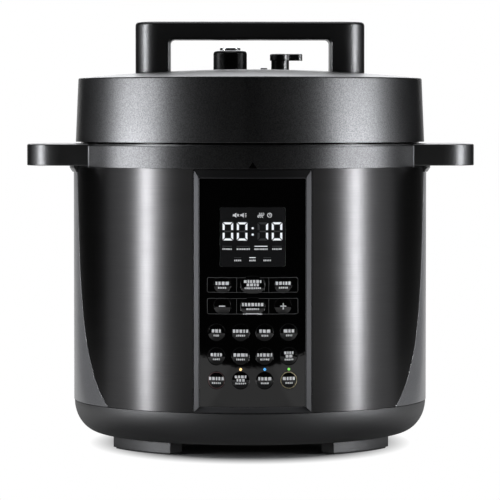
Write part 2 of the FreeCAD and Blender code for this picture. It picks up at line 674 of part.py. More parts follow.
def locking_ring():
    """Steel ring under the collar with a shelf for the pot rim, six outward lugs and a notch for the drain duct."""
    flange_top = GUTTER_LOW - FIT_GAP
    wall = turned_polygon([
        (LOCK_SHELF_R, LOCK_LOW), (LOCK_FLANGE_R, LOCK_LOW), (LOCK_FLANGE_R, flange_top), (LOCK_OUT_R, flange_top),
        (LOCK_OUT_R, LOCK_TOP), (LOCK_IN_R, LOCK_TOP), (LOCK_IN_R, LOCK_SHELF_TOP), (LOCK_SHELF_R, LOCK_SHELF_TOP)])
    lugs = [sector(LOCK_IN_R + LOCK_WALL / 2, LOCK_LUG_R, LOCK_TOP - LOCK_LUG_HEIGHT, LOCK_TOP, angle, LOCK_LUG_SPAN)
            for angle in LUG_ANGLES]
    notch_x = SPOUT_HALF_WIDTH + RUNNING_GAP
    notch = block(-notch_x, notch_x, DUCT_NEAR - RUNNING_GAP, FAR, 0, flange_top + OVERCUT)
    return joined(wall, *lugs).cut(notch)


def heating_plate():
    """Cast disc under the pot with a hole for the sensor and a rounded lower edge."""
    plate = disc(PLATE_R, PLATE_LOW, POT_FLOOR)
    plate = plate.makeFillet(PLATE_EDGE_R, edges_at_height(plate, PLATE_LOW))
    return plate.cut(disc(SENSOR_HOLE_R, 0, FAR))


def heating_element():
    """Tubular heater ring under the plate with its two terminals."""
    opening = 360 - ELEMENT_SPAN
    tube = Part.makeTorus(ELEMENT_R, ELEMENT_TUBE_R, Vector(0, 0, ELEMENT_Z), UP)
    tube = tube.cut(sector(OVERCUT, FAR, 0, FAR, 180, opening))
    ends = [on_circle(ELEMENT_R, 180 + side * (opening / 2 + TERMINAL_TURN)) for side in (-1, 1)]
    terminals = [post(TERMINAL_R, end.x, end.y, ELEMENT_Z - TERMINAL_LENGTH, ELEMENT_Z) for end in ends]
    return joined(tube, *terminals)


def plate_bracket():
    """Three posts that carry the plate, tied by arms to a guide for the sensor stem."""
    guide = ring(SENSOR_STEM_R + RUNNING_GAP, GUIDE_R, ARM_Z, ARM_Z + ARM_HEIGHT)
    pieces = []
    for angle in POST_ANGLES:
        spot = on_circle(POST_CIRCLE_R, angle)
        pieces.append(post(POST_R, spot.x, spot.y, BASE_FLOOR, PLATE_LOW))
        arm = block(GUIDE_R - OVERCUT, POST_CIRCLE_R, -POST_R, POST_R, ARM_Z, ARM_Z + ARM_HEIGHT)
        arm.rotate(ORIGIN, UP, angle - 90)
        pieces.append(arm)
    return joined(guide, *pieces)


def temperature_sensor():
    """Sprung capsule in the middle of the plate, just under the pot's floor."""
    top = POT_FLOOR - RUNNING_GAP
    cap = disc(SENSOR_R, top - SENSOR_CAP_HEIGHT, top)
    cap = cap.makeFillet(SENSOR_ROUND, edges_at_height(cap, top))
    return joined(cap, disc(SENSOR_STEM_R, ARM_Z - STEM_TAIL, top - OVERCUT))


def pressure_switch():
    """Micro switch on the base that opens when the pressure lifts the plate."""
    top = BASE_FLOOR + SWITCH_HEIGHT
    case = block(-SWITCH_NEAR - SWITCH_LENGTH, -SWITCH_NEAR, -SWITCH_WIDTH / 2, SWITCH_WIDTH / 2, BASE_FLOOR, top)
    return joined(case, post(PLUNGER_R, -SWITCH_NEAR - SWITCH_LENGTH / 2, 0, top - OVERCUT, top + PLUNGER_RISE))


def thermal_fuse():
    """Fuse held by a strap against the plate."""
    strap_low = PLATE_LOW - STRAP_THICKNESS
    far = FUSE_NEAR + FUSE_LENGTH
    strap = block(-far, -FUSE_NEAR, -STRAP_WIDTH / 2, STRAP_WIDTH / 2, strap_low, PLATE_LOW - ABUT_GAP)
    axis_z = strap_low - FUSE_R + OVERCUT
    return joined(strap, rod(FUSE_R, Vector(-far, 0, axis_z), Vector(-FUSE_NEAR, 0, axis_z)))


def power_board():
    """Board with its relay, transformer, capacitor and tube fuse."""
    top = POWER_BOARD_Z + BOARD_THICKNESS
    root = top - BOARD_THICKNESS / 2
    high = top + COMPONENT_HEIGHT
    side = POWER_BOARD_X - COMPONENT_MARGIN
    near = POWER_BOARD_FRONT + COMPONENT_MARGIN
    board = block(-POWER_BOARD_X, POWER_BOARD_X, POWER_BOARD_FRONT, POWER_BOARD_BACK, POWER_BOARD_Z, top)
    relay = block(side - RELAY_LENGTH, side, near, near + RELAY_WIDTH, root, high)
    coil = block(-side, COIL_LENGTH - side, near, near + COIL_WIDTH, root, high)
    can = post(CAN_R, 0, near + CAN_R, root, high)
    fuse_y = POWER_BOARD_BACK - COMPONENT_MARGIN
    fuse = rod(FUSE_R, Vector(side - FUSE_LENGTH, fuse_y, top + FUSE_R / 2), Vector(side, fuse_y, top + FUSE_R / 2))
    return joined(board, relay, coil, can, fuse)


def inlet_outline(half_width, low, high, chamfer, near, far):
    """Prism along Y with the two upper corners cut off, as on an appliance inlet."""
    corners = [(-half_width, low), (half_width, low), (half_width, high - chamfer), (half_width - chamfer, high),
               (chamfer - half_width, high), (-half_width, high - chamfer), (-half_width, low)]
    wire = Part.makePolygon([Vector(x, near, z) for x, z in corners])
    return Part.Face(wire).extrude(Vector(0, far - near, 0))


def power_inlet():
    """Appliance inlet let into the lower rear of the shell."""
    body = block(-INLET_HALF_WIDTH, INLET_HALF_WIDTH, INLET_BACK, INLET_FACE, INLET_LOW, INLET_HIGH)
    half = SOCKET_HEIGHT / 2
    return body.cut(inlet_outline(SOCKET_HALF_WIDTH, INLET_MIDDLE - half, INLET_MIDDLE + half, SOCKET_CHAMFER,
                                  SOCKET_FLOOR, FAR))


def inlet_pins():
    """Three flat pins standing in the inlet."""
    tip = INLET_FACE - PIN_SETBACK
    pins = []
    for x, rise in ((-PIN_PITCH, -PIN_OFFSET), (0.0, PIN_OFFSET), (PIN_PITCH, -PIN_OFFSET)):
        middle = INLET_MIDDLE + rise
        pins.append(block(x - PIN_HALF_THICKNESS, x + PIN_HALF_THICKNESS, SOCKET_FLOOR, tip,
                          middle - PIN_HALF_WIDTH, middle + PIN_HALF_WIDTH))
    return Part.makeCompound(pins)


def condensation_cup():
    """Open drip cup that hangs in the rear rails by its side flanges."""
    cup = block(-CUP_X, CUP_X, CUP_NEAR, CUP_FAR, CUP_BOTTOM, CUP_TOP)
    rear = [edge for edge in upright_edges(cup, CUP_X / 2) if edge.BoundBox.YMin > CUP_NEAR + OVERCUT]
    cup = cup.makeFillet(CUP_CORNER_R, rear)
    inside_x = CUP_X - CUP_WALL
    inside = block(-inside_x, inside_x, CUP_NEAR + CUP_WALL, CUP_FAR - CUP_WALL, CUP_BOTTOM + CUP_WALL, FAR)
    rear = [edge for edge in upright_edges(inside, CUP_X / 2) if edge.BoundBox.YMin > CUP_NEAR + 2 * CUP_WALL]
    inside = inside.makeFillet(CUP_CORNER_R - CUP_WALL, rear)
    reach = CUP_X + CUP_FLANGE
    flange_far = CUP_FAR - CUP_CORNER_R
    flange = block(-reach, reach, CUP_NEAR, flange_far, CUP_FLANGE_Z, CUP_FLANGE_Z + CUP_FLANGE_HEIGHT)
    return joined(cup, flange).cut(inside)


def key_places():
    """Name, sideways place, height and half length of every key."""
    places = []
    for row, height in (("top", TOP_KEY_Z), ("lower", LOWER_KEY_Z)):
        places.append((row + "_key_left", -OUTER_KEY_X, height, KEY_R))
        places.append((row + "_key_middle", 0.0, height, OVAL_KEY_HALF))
        places.append((row + "_key_right", OUTER_KEY_X, height, KEY_R))
    for row, height in enumerate(PROGRAM_ROWS):
        for column, x in enumerate(KEY_COLUMNS):
            places.append(("program_key_%d" % (COLUMN_COUNT * row + column + 1), x, height, KEY_R))
    for column, x in enumerate(KEY_COLUMNS):
        places.append(("bottom_key_%d" % (column + 1), x, BOTTOM_ROW, KEY_R))
    return places


def panel_angle(x):
    """Angle from the front of a place on the fascia."""
    return math.degrees(math.asin(x / FASCIA_R))


def key_prism(x, height, half, grow, near, far):
    """Round or oval prism that points outwards from the pot axis, between two radii."""
    radius = KEY_R + grow
    straight = half - KEY_R
    prism = rod(radius, Vector(-straight, -near, height), Vector(-straight, -far, height))
    if straight > 0:
        right = rod(radius, Vector(straight, -near, height), Vector(straight, -far, height))
        middle = block(-straight, straight, -far, -near, height - radius, height + radius)
        prism = joined(prism, middle, right)
    prism.rotate(ORIGIN, UP, panel_angle(x))
    return prism


def key_cap(x, height, half):
    """Key with a crowned face and a flange behind the fascia."""
    crown_top = FASCIA_R + KEY_PROUD
    dome_r = half ** 2 / (2 * KEY_CROWN)
    cap = key_prism(x, height, half, 0, KEY_BACK, crown_top + OVERCUT)
    cap = cap.common(Part.makeSphere(dome_r, on_circle(crown_top - dome_r, panel_angle(x), height)))
    flange = key_prism(x, height, half, KEY_FLANGE, KEY_BACK, KEY_FLANGE_TOP)
    return joined(cap, flange)


def control_bezel():
    """Frame of the panel, bevelled inwards to the fascia on all four sides."""
    frame = ring(BEZEL_BACK_R, BEZEL_R, PANEL_LOW, PANEL_HIGH)
    frame = frame.common(block(-PANEL_HALF_WIDTH, PANEL_HALF_WIDTH, -FAR, 0, 0, FAR))
    rise = turned_polygon([
        (FASCIA_R, FASCIA_LOW), (BEZEL_R, PANEL_LOW + BEZEL_LAND), (FAR, PANEL_LOW + BEZEL_LAND),
        (FAR, PANEL_HIGH - BEZEL_LAND), (BEZEL_R, PANEL_HIGH - BEZEL_LAND), (FASCIA_R, FASCIA_HIGH)])
    rim_x = PANEL_HALF_WIDTH - BEZEL_LAND
    rim_y = -math.sqrt(BEZEL_R ** 2 - rim_x ** 2)
    floor_y = -math.sqrt(FASCIA_R ** 2 - FASCIA_X ** 2)
    plan = [(-FASCIA_X, floor_y), (FASCIA_X, floor_y), (rim_x, rim_y), (rim_x, -FAR), (-rim_x, -FAR), (-rim_x, rim_y)]
    wire = Part.makePolygon([Vector(x, y, 0) for x, y in plan + plan[:1]])
    spread = Part.Face(wire).extrude(Vector(0, 0, FAR))
    opening = block(-FASCIA_X, FASCIA_X, -FAR, 0, FASCIA_LOW, FASCIA_HIGH)
    return frame.cut(rise.common(spread)).cut(opening)


def panel_plate(inner, outer, half_width, low, high, corner_r):
    """Curved plate of the panel with rounded corners."""
    tile = block(-half_width, half_width, -FAR, 0, low, high)
    corners = [edge for edge in tile.Edges if edge.BoundBox.YLength > OVERCUT]
    return tile.makeFillet(corner_r, corners).common(ring(inner, outer, low - OVERCUT, high + OVERCUT))


def control_fascia():
    """Gloss plate with holes for the keys, the window and the lights, and posts for the board behind."""
    half_width = FASCIA_X - FIT_GAP
    plate = panel_plate(FASCIA_BACK_R, FASCIA_R, half_width, FASCIA_LOW + FIT_GAP, FASCIA_HIGH - FIT_GAP,
                        FASCIA_CORNER_R)
    post_x = half_width - FASCIA_POST_INSET
    depth = -math.sqrt((FASCIA_R - FASCIA_THICKNESS / 2) ** 2 - post_x ** 2)
    for x in (-post_x, post_x):
        for height in (FASCIA_LOW + FASCIA_POST_RISE, FASCIA_HIGH - FASCIA_POST_RISE):
            stand = rod(FASCIA_POST_R, Vector(x, BOARD_FRONT - ABUT_GAP, height), Vector(x, depth, height))
            plate = joined(plate, stand)
    plate = plate.cut(panel_plate(FASCIA_BACK_R - OVERCUT, FAR, WINDOW_WIDTH / 2, WINDOW_LOW, WINDOW_HIGH,
                                  WINDOW_CORNER_R))
    for name, x, height, half in key_places():
        plate = plate.cut(key_prism(x, height, half, KEY_GAP, KEY_BACK, FAR))
    for light in light_rods(FIT_GAP, OVERCUT):
        plate = plate.cut(light)
    return plate


def light_rods(grow, rise):
    """Indicator light bodies from the board to the fascia, over three of the bottom keys."""
    height = BOTTOM_ROW + LED_RISE
    rods = []
    for x in LED_COLUMNS:
        angle = panel_angle(x)
        turn = math.radians(abs(angle))
        start = (ABUT_GAP - BOARD_FRONT) / math.cos(turn) + LED_R * math.tan(turn)
        rods.append(rod(LED_R + grow, on_circle(start, angle, height), on_circle(FASCIA_R + rise, angle, height)))
    return rods


def display_window():
    """Clear window, just below the face of the fascia."""
    return panel_plate(FASCIA_BACK_R + FIT_GAP, FASCIA_R - FIT_GAP, WINDOW_WIDTH / 2 - FIT_GAP,
                       WINDOW_LOW + FIT_GAP, WINDOW_HIGH - FIT_GAP, WINDOW_CORNER_R)


def display_module():
    """Display behind the window, on the control board."""
    half_width = WINDOW_WIDTH / 2 - MODULE_INSET
    front = -math.sqrt(FASCIA_BACK_R ** 2 - half_width ** 2) + RUNNING_GAP
    return block(-half_width, half_width, front, BOARD_FRONT, WINDOW_LOW - MODULE_INSET,
                 WINDOW_HIGH + MODULE_INSET)


def control_board():
    """Board behind the fascia."""
    half_width = FASCIA_X - BOARD_MARGIN
    return block(-half_width, half_width, BOARD_FRONT, BOARD_FRONT + BOARD_THICKNESS, FASCIA_LOW + BOARD_MARGIN,
                 FASCIA_HIGH - BOARD_MARGIN)


def tact_switches():
    """A small switch with a plunger behind each key."""
    half = SWITCH_CASE_HALF
    root = SWITCH_TIP - SWITCH_TIP_LENGTH
    switches = []
    for name, x, height, length in key_places():
        angle = panel_angle(x)
        face = on_circle(root, angle, height)
        case = block(face.x - half, face.x + half, face.y, BOARD_FRONT, height - half, height + half)
        tip = rod(SWITCH_TIP_R, on_circle(root - OVERCUT, angle, height), on_circle(SWITCH_TIP, angle, height))
        switches.append(joined(case, tip))
    return Part.makeCompound(switches)


def fillet_arc(centre_r, centre_z, radius):
    """Quarter round at the lower outside corner of a turned section."""
    half = radius * math.sqrt(0.5)
    return Part.Arc(Vector(centre_r, 0, centre_z - radius), Vector(centre_r + half, 0, centre_z - half),
                    Vector(centre_r + radius, 0, centre_z)).toShape()


def inner_pot():
    """Removable pot with a rounded bottom corner and a rim flange."""
    inner_r = POT_R - POT_WALL
    inner_floor = POT_FLOOR + POT_FLOOR_THICKNESS
    inner_corner = POT_CORNER_R - POT_WALL
    outer = segments([(0, POT_FLOOR), (POT_R - POT_CORNER_R, POT_FLOOR)])
    outer.append(fillet_arc(POT_R - POT_CORNER_R, POT_FLOOR + POT_CORNER_R, POT_CORNER_R))
    outer += segments([(POT_R, POT_FLOOR + POT_CORNER_R), (POT_R, POT_RIM_Z), (POT_RIM_R, POT_RIM_Z),
                       (POT_RIM_R, POT_RIM_TOP), (inner_r, POT_RIM_TOP), (inner_r, inner_floor + inner_corner)])
    outer.append(fillet_arc(inner_r - inner_corner, inner_floor + inner_corner, inner_corner))
    outer += segments([(inner_r - inner_corner, inner_floor), (0, inner_floor), (0, POT_FLOOR)])
    return turned(outer)


def sealing_ring():
    """Silicone ring with a slotted lip between the pot rim and the steel lid."""
    low = POT_RIM_TOP + RUNNING_GAP
    high = STEEL_UNDER - RUNNING_GAP
    middle = (low + high) / 2
    body = turned_polygon([
        (SEAL_IN_R, low + SEAL_LIP), (SEAL_IN_R + SEAL_BEVEL, low), (SEAL_OUT_R - SEAL_BEVEL, low),
        (SEAL_OUT_R, low + SEAL_BEVEL), (SEAL_OUT_R, high - SEAL_BEVEL), (SEAL_OUT_R - SEAL_BEVEL, high),
        (SEAL_IN_R, high)])
    slot = ring(SEAL_IN_R - OVERCUT, SEAL_IN_R + SEAL_SLOT_DEPTH, middle - SEAL_BEVEL, middle + SEAL_BEVEL)
    return body.cut(slot)


def cap_height(radius):
    """Height of the lid's domed top at a radius."""
    return LID_APEX - CAP_R + math.sqrt(CAP_R ** 2 - radius ** 2)


def cap_arc(edge_r, drop):
    """Arc of the dome from a radius to the axis, lowered by a drop."""
    places = [(edge_r, cap_height(edge_r)), (edge_r / 2, cap_height(edge_r / 2)), (0, LID_APEX)]
    return Part.Arc(*[Vector(radius, 0, height - drop) for radius, height in places]).toShape()


def under_dome(drop):
    """Solid below the domed top, lowered by a drop."""
    edge_z = cap_height(LID_EDGE_R) - drop
    return turned([cap_arc(LID_EDGE_R, drop)] + segments([(0, LID_APEX - drop), (0, 0), (LID_EDGE_R, 0),
                                                          (LID_EDGE_R, edge_z)]))


def lid_cover():
    """Plastic cover of the lid with bosses down to the steel lid."""
    inner_edge = LID_EDGE_R - LID_WALL
    inner_edge_z = cap_height(inner_edge) - LID_WALL
    section = segments([(LID_BOTTOM_R, LID_BOTTOM), (LID_EDGE_R, LID_EDGE)])
    section.append(cap_arc(LID_EDGE_R, 0))
    section += segments([(0, LID_APEX), (0, LID_APEX - LID_WALL)])
    section.append(cap_arc(inner_edge, LID_WALL))
    section += segments([(inner_edge, inner_edge_z), (LID_BOTTOM_R - LID_WALL, LID_BOTTOM),
                         (LID_BOTTOM_R, LID_BOTTOM)])
    cover = turned(section)
    cover = cover.makeFillet(LID_EDGE_ROUND, edges_at_height(cover, LID_EDGE))
    spots = [on_circle(BOSS_CIRCLE_R, angle) for angle in BOSS_ANGLES]
    boss_top = cap_height(BOSS_CIRCLE_R + BOSS_R) - LID_WALL / 2
    bosses = [post(BOSS_R, spot.x, spot.y, STEEL_LID_TOP + ABUT_GAP, boss_top) for spot in spots]
    cover = joined(cover, *bosses)
    for spot in spots:
        cover = cover.cut(post(SCREW_SHANK_R + FIT_GAP, spot.x, spot.y, 0, STEEL_LID_TOP + BOSS_HOLE_DEPTH))
    cover = cover.cut(post(PIPE_R + OVERCUT, VALVE_X, VALVE_Y, 0, FAR))
    cover = cover.cut(post(LEVER_STEM_R + RUNNING_GAP, LEVER_X, VALVE_Y, LID_EDGE - LID_WALL, FAR))
    return cover.cut(post(FLOAT_R + 2 * RUNNING_GAP, FLOAT_X, FLOAT_Y, 0, FAR))


def pressure_lid():
    """Steel lid with a skirt, six inward lugs and holes for the valves and screws."""
    lid = disc(STEEL_LID_R, STEEL_LID_LOW, STEEL_LID_TOP)
    lid = lid.makeFillet(STEEL_LID_ROUND, edges_at_height(lid, STEEL_LID_TOP))
    hollow = disc(STEEL_LID_IN_R, STEEL_LID_LOW - OVERCUT, STEEL_UNDER)
    hollow = hollow.makeFillet(STEEL_LID_ROUND - STEEL_LID_WALL, edges_at_height(hollow, STEEL_UNDER))
    lugs = [sector(LID_LUG_R, STEEL_LID_R - STEEL_LID_WALL / 2, STEEL_LID_LOW, STEEL_LID_LOW + LID_LUG_HEIGHT,
                   angle + LUG_PITCH / 2, LID_LUG_SPAN) for angle in LUG_ANGLES]
    lid = joined(lid.cut(hollow), *lugs)
    for angle in BOSS_ANGLES:
        spot = on_circle(BOSS_CIRCLE_R, angle)
        lid = lid.cut(post(SCREW_SHANK_R + FIT_GAP, spot.x, spot.y, 0, FAR))
    lid = lid.cut(post(PIPE_R + FIT_GAP, VALVE_X, VALVE_Y, 0, FAR))
    return lid.cut(post(FLOAT_R + RUNNING_GAP, FLOAT_X, FLOAT_Y, 0, FAR))


def seal_rack():
    """Metal hoop under the steel lid that holds the sealing ring out."""
    return ring(RACK_R - RACK_WALL, RACK_R, POT_RIM_TOP + RACK_RISE, STEEL_UNDER - ABUT_GAP)


def lid_screws():
    """Screws from below, through the steel lid into the cover's bosses."""
    screws = []
    seat = STEEL_UNDER - ABUT_GAP
    for angle in BOSS_ANGLES:
        spot = on_circle(BOSS_CIRCLE_R, angle)
        head = post(SCREW_HEAD_R, spot.x, spot.y, seat - SCREW_HEAD_HEIGHT, seat)
        shank = post(SCREW_SHANK_R, spot.x, spot.y, seat - OVERCUT, STEEL_LID_TOP + LID_SCREW_LENGTH)
        screws.append(joined(head, shank))
    return Part.makeCompound(screws)


def lid_handle():
    """Arch handle with round ends and a chamfered inside, seated on the dome."""
    radius = LID_HANDLE_DEPTH / 2
    end_x = LID_HANDLE_LENGTH / 2 - radius
    low = LID_EDGE - LID_WALL
    under = LID_HANDLE_TOP - LID_HANDLE_BAR
    gap_x = LID_HANDLE_LENGTH / 2 - LID_HANDLE_LEG
    bar = block(-end_x, end_x, -radius, radius, low, LID_HANDLE_TOP)
    solid = joined(bar, post(radius, -end_x, 0, low, LID_HANDLE_TOP), post(radius, end_x, 0, low, LID_HANDLE_TOP))
    solid = solid.makeFillet(LID_HANDLE_ROUND, edges_at_height(solid, LID_HANDLE_TOP))
    gap = block(-gap_x, gap_x, -FAR, FAR, 0, under)
    corners = [edge for edge in edges_at_height(gap, under) if edge.BoundBox.YLength > FAR]
    gap = gap.makeFillet(LID_HANDLE_ROUND, corners)
    solid = solid.cut(gap)
    inside = [edge for edge in solid.Edges
              if edge.BoundBox.YLength < SAME_HEIGHT and edge.BoundBox.ZMax < under + SAME_HEIGHT
              and edge.BoundBox.ZMax > low + SAME_HEIGHT and abs(edge.CenterOfMass.x) < gap_x + SAME_HEIGHT]
    return solid.makeChamfer(LID_HANDLE_CHAMFER, inside).cut(under_dome(-ABUT_GAP))


def vent_pipe():
    """Steam pipe through the steel lid with a flange below it."""
    pipe = post(PIPE_R, VALVE_X, VALVE_Y, STEEL_UNDER - PIPE_TAIL, PIPE_TOP)
    flange = post(PIPE_R + PIPE_FLANGE, VALVE_X, VALVE_Y, STEEL_UNDER - PIPE_FLANGE_HEIGHT, STEEL_UNDER - ABUT_GAP)
    return joined(pipe, flange).cut(post(PIPE_BORE_R, VALVE_X, VALVE_Y, 0, FAR))


def block_shield():
    """Slotted cap under the steel lid that keeps food out of the steam pipe."""
    low = STEEL_UNDER - SHIELD_HEIGHT
    half = SHIELD_SLOT_WIDTH / 2
    shell = post(SHIELD_R, VALVE_X, VALVE_Y, low, STEEL_UNDER - ABUT_GAP)
    shell = shell.cut(post(SHIELD_R - SHIELD_WALL, VALVE_X, VALVE_Y, low + SHIELD_WALL, FAR))
    for number in range(SHIELD_SLOTS):
        slot = block(-half, half, 0, 2 * SHIELD_R, low + SHIELD_MARGIN, STEEL_UNDER - SHIELD_MARGIN)
        slot.rotate(ORIGIN, UP, 360.0 * (number + 0.5) / SHIELD_SLOTS)
        slot.translate(Vector(VALVE_X, VALVE_Y, 0))
        shell = shell.cut(slot)
    return shell


def steam_valve():
    """Weighted knob that sits loosely on the steam pipe."""
    low = LID_APEX + ABUT_GAP
    knob = post(VALVE_R, VALVE_X, VALVE_Y, low, VALVE_TOP)
    knob = knob.makeFillet(VALVE_ROUND, edges_at_height(knob, VALVE_TOP))
    return knob.cut(post(PIPE_R + RUNNING_GAP, VALVE_X, VALVE_Y, 0, PIPE_TOP + RUNNING_GAP))


def valve_disc():
    """Polished disc on top of the knob."""
    top = VALVE_TOP + VALVE_DISC_HEIGHT
    plate = post(VALVE_DISC_R, VALVE_X, VALVE_Y, VALVE_TOP, top)
    return plate.makeFillet(VALVE_DISC_ROUND, edges_at_height(plate, top))


def release_lever():
    """Turning lever: stem, disc and a round-ended tab."""
    stem = post(LEVER_STEM_R, LEVER_X, VALVE_Y, STEEL_LID_TOP + LEVER_TAIL, LEVER_DISC_LOW + OVERCUT)
    top = post(LEVER_DISC_R, LEVER_X, VALVE_Y, LEVER_DISC_LOW, LEVER_TOP)
    half = LEVER_TAB / 2
    tab_x = LEVER_X + LEVER_REACH - half
    tab = block(LEVER_X, tab_x, VALVE_Y - half, VALVE_Y + half, LEVER_DISC_LOW, LEVER_TOP)
    tip = post(half, tab_x, VALVE_Y, LEVER_DISC_LOW, LEVER_TOP)
    head = joined(top, tab, tip)
    head = head.makeFillet(LEVER_ROUND, edges_at_height(head, LEVER_TOP))
    return joined(stem, head)


def float_valve():
    """Pin that rises through the lid under pressure, with a stop flange below the steel lid."""
    flange_top = STEEL_UNDER - FLOAT_RISE - RUNNING_GAP
    pin = post(FLOAT_R, FLOAT_X, FLOAT_Y, flange_top - FLOAT_TAIL, FLOAT_TOP)
    return joined(pin, post(FLOAT_FLANGE_R, FLOAT_X, FLOAT_Y, flange_top - FLOAT_FLANGE_HEIGHT, flange_top))


def all_pieces():
    """Every piece by its name."""
    right_handle = side_handle()
    pieces = {
        "side_handle_right": right_handle,
        "side_handle_left": mirrored(right_handle),
        "collar_trim_front": collar_trim(0),
        "collar_trim_rear": collar_trim(180),
        "indicator_lights": Part.makeCompound(light_rods(0, 0)),
    }
    single = (
        base_pan, foot_pads, base_screws, front_wrap, rear_shell, upper_collar, inner_housing, locking_ring,
        heating_plate, heating_element, plate_bracket, temperature_sensor, pressure_switch, thermal_fuse, power_board,
        power_inlet, inlet_pins, condensation_cup, control_bezel, control_fascia, display_window, display_module,
        control_board, tact_switches, inner_pot, sealing_ring, lid_cover, pressure_lid, seal_rack, lid_screws,
        lid_handle, vent_pipe, block_shield, steam_valve, valve_disc, release_lever, float_valve)
    for make in single:
        pieces[make.__name__] = make()
    for name, x, height, half in key_places():
        pieces[name] = key_cap(x, height, half)
    return pieces


os.makedirs("parts", exist_ok=True)
for node, shape in all_pieces().items():
    shape.exportStep("parts/%s.step" % node)
    print(node, len(shape.Solids), shape.isValid(), round(shape.Volume / 1000, 2))
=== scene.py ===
"""Looks of a round electric pressure cooker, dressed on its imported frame, in metres."""

from __future__ import annotations

import json
import logging
import math
from dataclasses import dataclass, field
from enum import Enum
from typing import Callable, Mapping, Union

import bmesh
import bpy
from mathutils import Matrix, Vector

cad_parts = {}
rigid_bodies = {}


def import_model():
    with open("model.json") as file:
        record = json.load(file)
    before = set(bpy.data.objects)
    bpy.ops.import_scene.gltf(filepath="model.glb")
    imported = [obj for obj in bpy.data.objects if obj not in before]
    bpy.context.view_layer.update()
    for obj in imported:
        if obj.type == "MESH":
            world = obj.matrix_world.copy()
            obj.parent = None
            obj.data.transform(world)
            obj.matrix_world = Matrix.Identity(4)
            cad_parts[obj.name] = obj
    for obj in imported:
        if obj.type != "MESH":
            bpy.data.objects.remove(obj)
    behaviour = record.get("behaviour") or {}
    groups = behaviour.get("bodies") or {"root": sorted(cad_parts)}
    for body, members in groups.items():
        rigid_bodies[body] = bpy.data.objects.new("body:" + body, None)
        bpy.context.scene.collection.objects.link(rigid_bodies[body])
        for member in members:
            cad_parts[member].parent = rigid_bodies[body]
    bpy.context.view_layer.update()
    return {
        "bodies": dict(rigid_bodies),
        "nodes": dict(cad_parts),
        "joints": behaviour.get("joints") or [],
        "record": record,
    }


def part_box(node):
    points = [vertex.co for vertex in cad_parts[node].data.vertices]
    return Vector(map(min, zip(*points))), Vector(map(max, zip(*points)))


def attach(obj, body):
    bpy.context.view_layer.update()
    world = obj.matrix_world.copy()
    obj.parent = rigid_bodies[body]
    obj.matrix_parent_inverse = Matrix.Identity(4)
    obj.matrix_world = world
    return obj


LOG = logging.getLogger("cooker")
Colour = tuple[float, float, float]
Point = tuple[float, float]
SocketKey = Union[str, int]
Feed = Union["Value", float, Colour]
Inputs = Mapping[SocketKey, Feed]
Material = bpy.types.Material
Owner = Union[Material, bpy.types.World]

MM = 0.001
WHITE = (1.0, 1.0, 1.0)
# The stretch of a noise that holds most of its values, and a narrower one with more contrast.
MOST = (0.3, 0.7)
CORE = (0.35, 0.65)
# Patches of uneven gloss to the metre.
PATCHES = 22.0


def grey(level: float) -> Colour:
    """A colour without hue."""
    return (level, level, level)


def scaled(parts: tuple[float, ...], share: float) -> tuple[float, ...]:
    """Every part of a colour or pair times one share."""
    return tuple(part * share for part in parts)


class Value:
    """A socket of a shader graph that takes part in Python arithmetic."""

    def __init__(self, graph: ShaderGraph, socket: bpy.types.NodeSocket) -> None:
        """Keeps the socket with the graph that it belongs to."""
        self.graph = graph
        self.socket = socket

    def __add__(self, other: Feed) -> Value:
        """Sum of two values."""
        return self.graph.math("ADD", self, other)

    def __radd__(self, other: Feed) -> Value:
        """Sum with a number on the left."""
        return self.graph.math("ADD", other, self)

    def __sub__(self, other: Feed) -> Value:
        """Difference of two values."""
        return self.graph.math("SUBTRACT", self, other)

    def __rsub__(self, other: Feed) -> Value:
        """Difference from a number on the left."""
        return self.graph.math("SUBTRACT", other, self)

    def __mul__(self, other: Feed) -> Value:
        """Product of two values."""
        return self.graph.math("MULTIPLY", self, other)

    def __rmul__(self, other: Feed) -> Value:
        """Product with a number on the left."""
        return self.graph.math("MULTIPLY", other, self)

    def __gt__(self, other: Feed) -> Value:
        """One where this value is greater, else zero."""
        return self.graph.math("GREATER_THAN", self, other)

    def __lt__(self, other: Feed) -> Value:
        """One where this value is less, else zero."""
        return self.graph.math("LESS_THAN", self, other)

    def __abs__(self) -> Value:
        """This value without its sign."""
        return self.graph.math("ABSOLUTE", self)


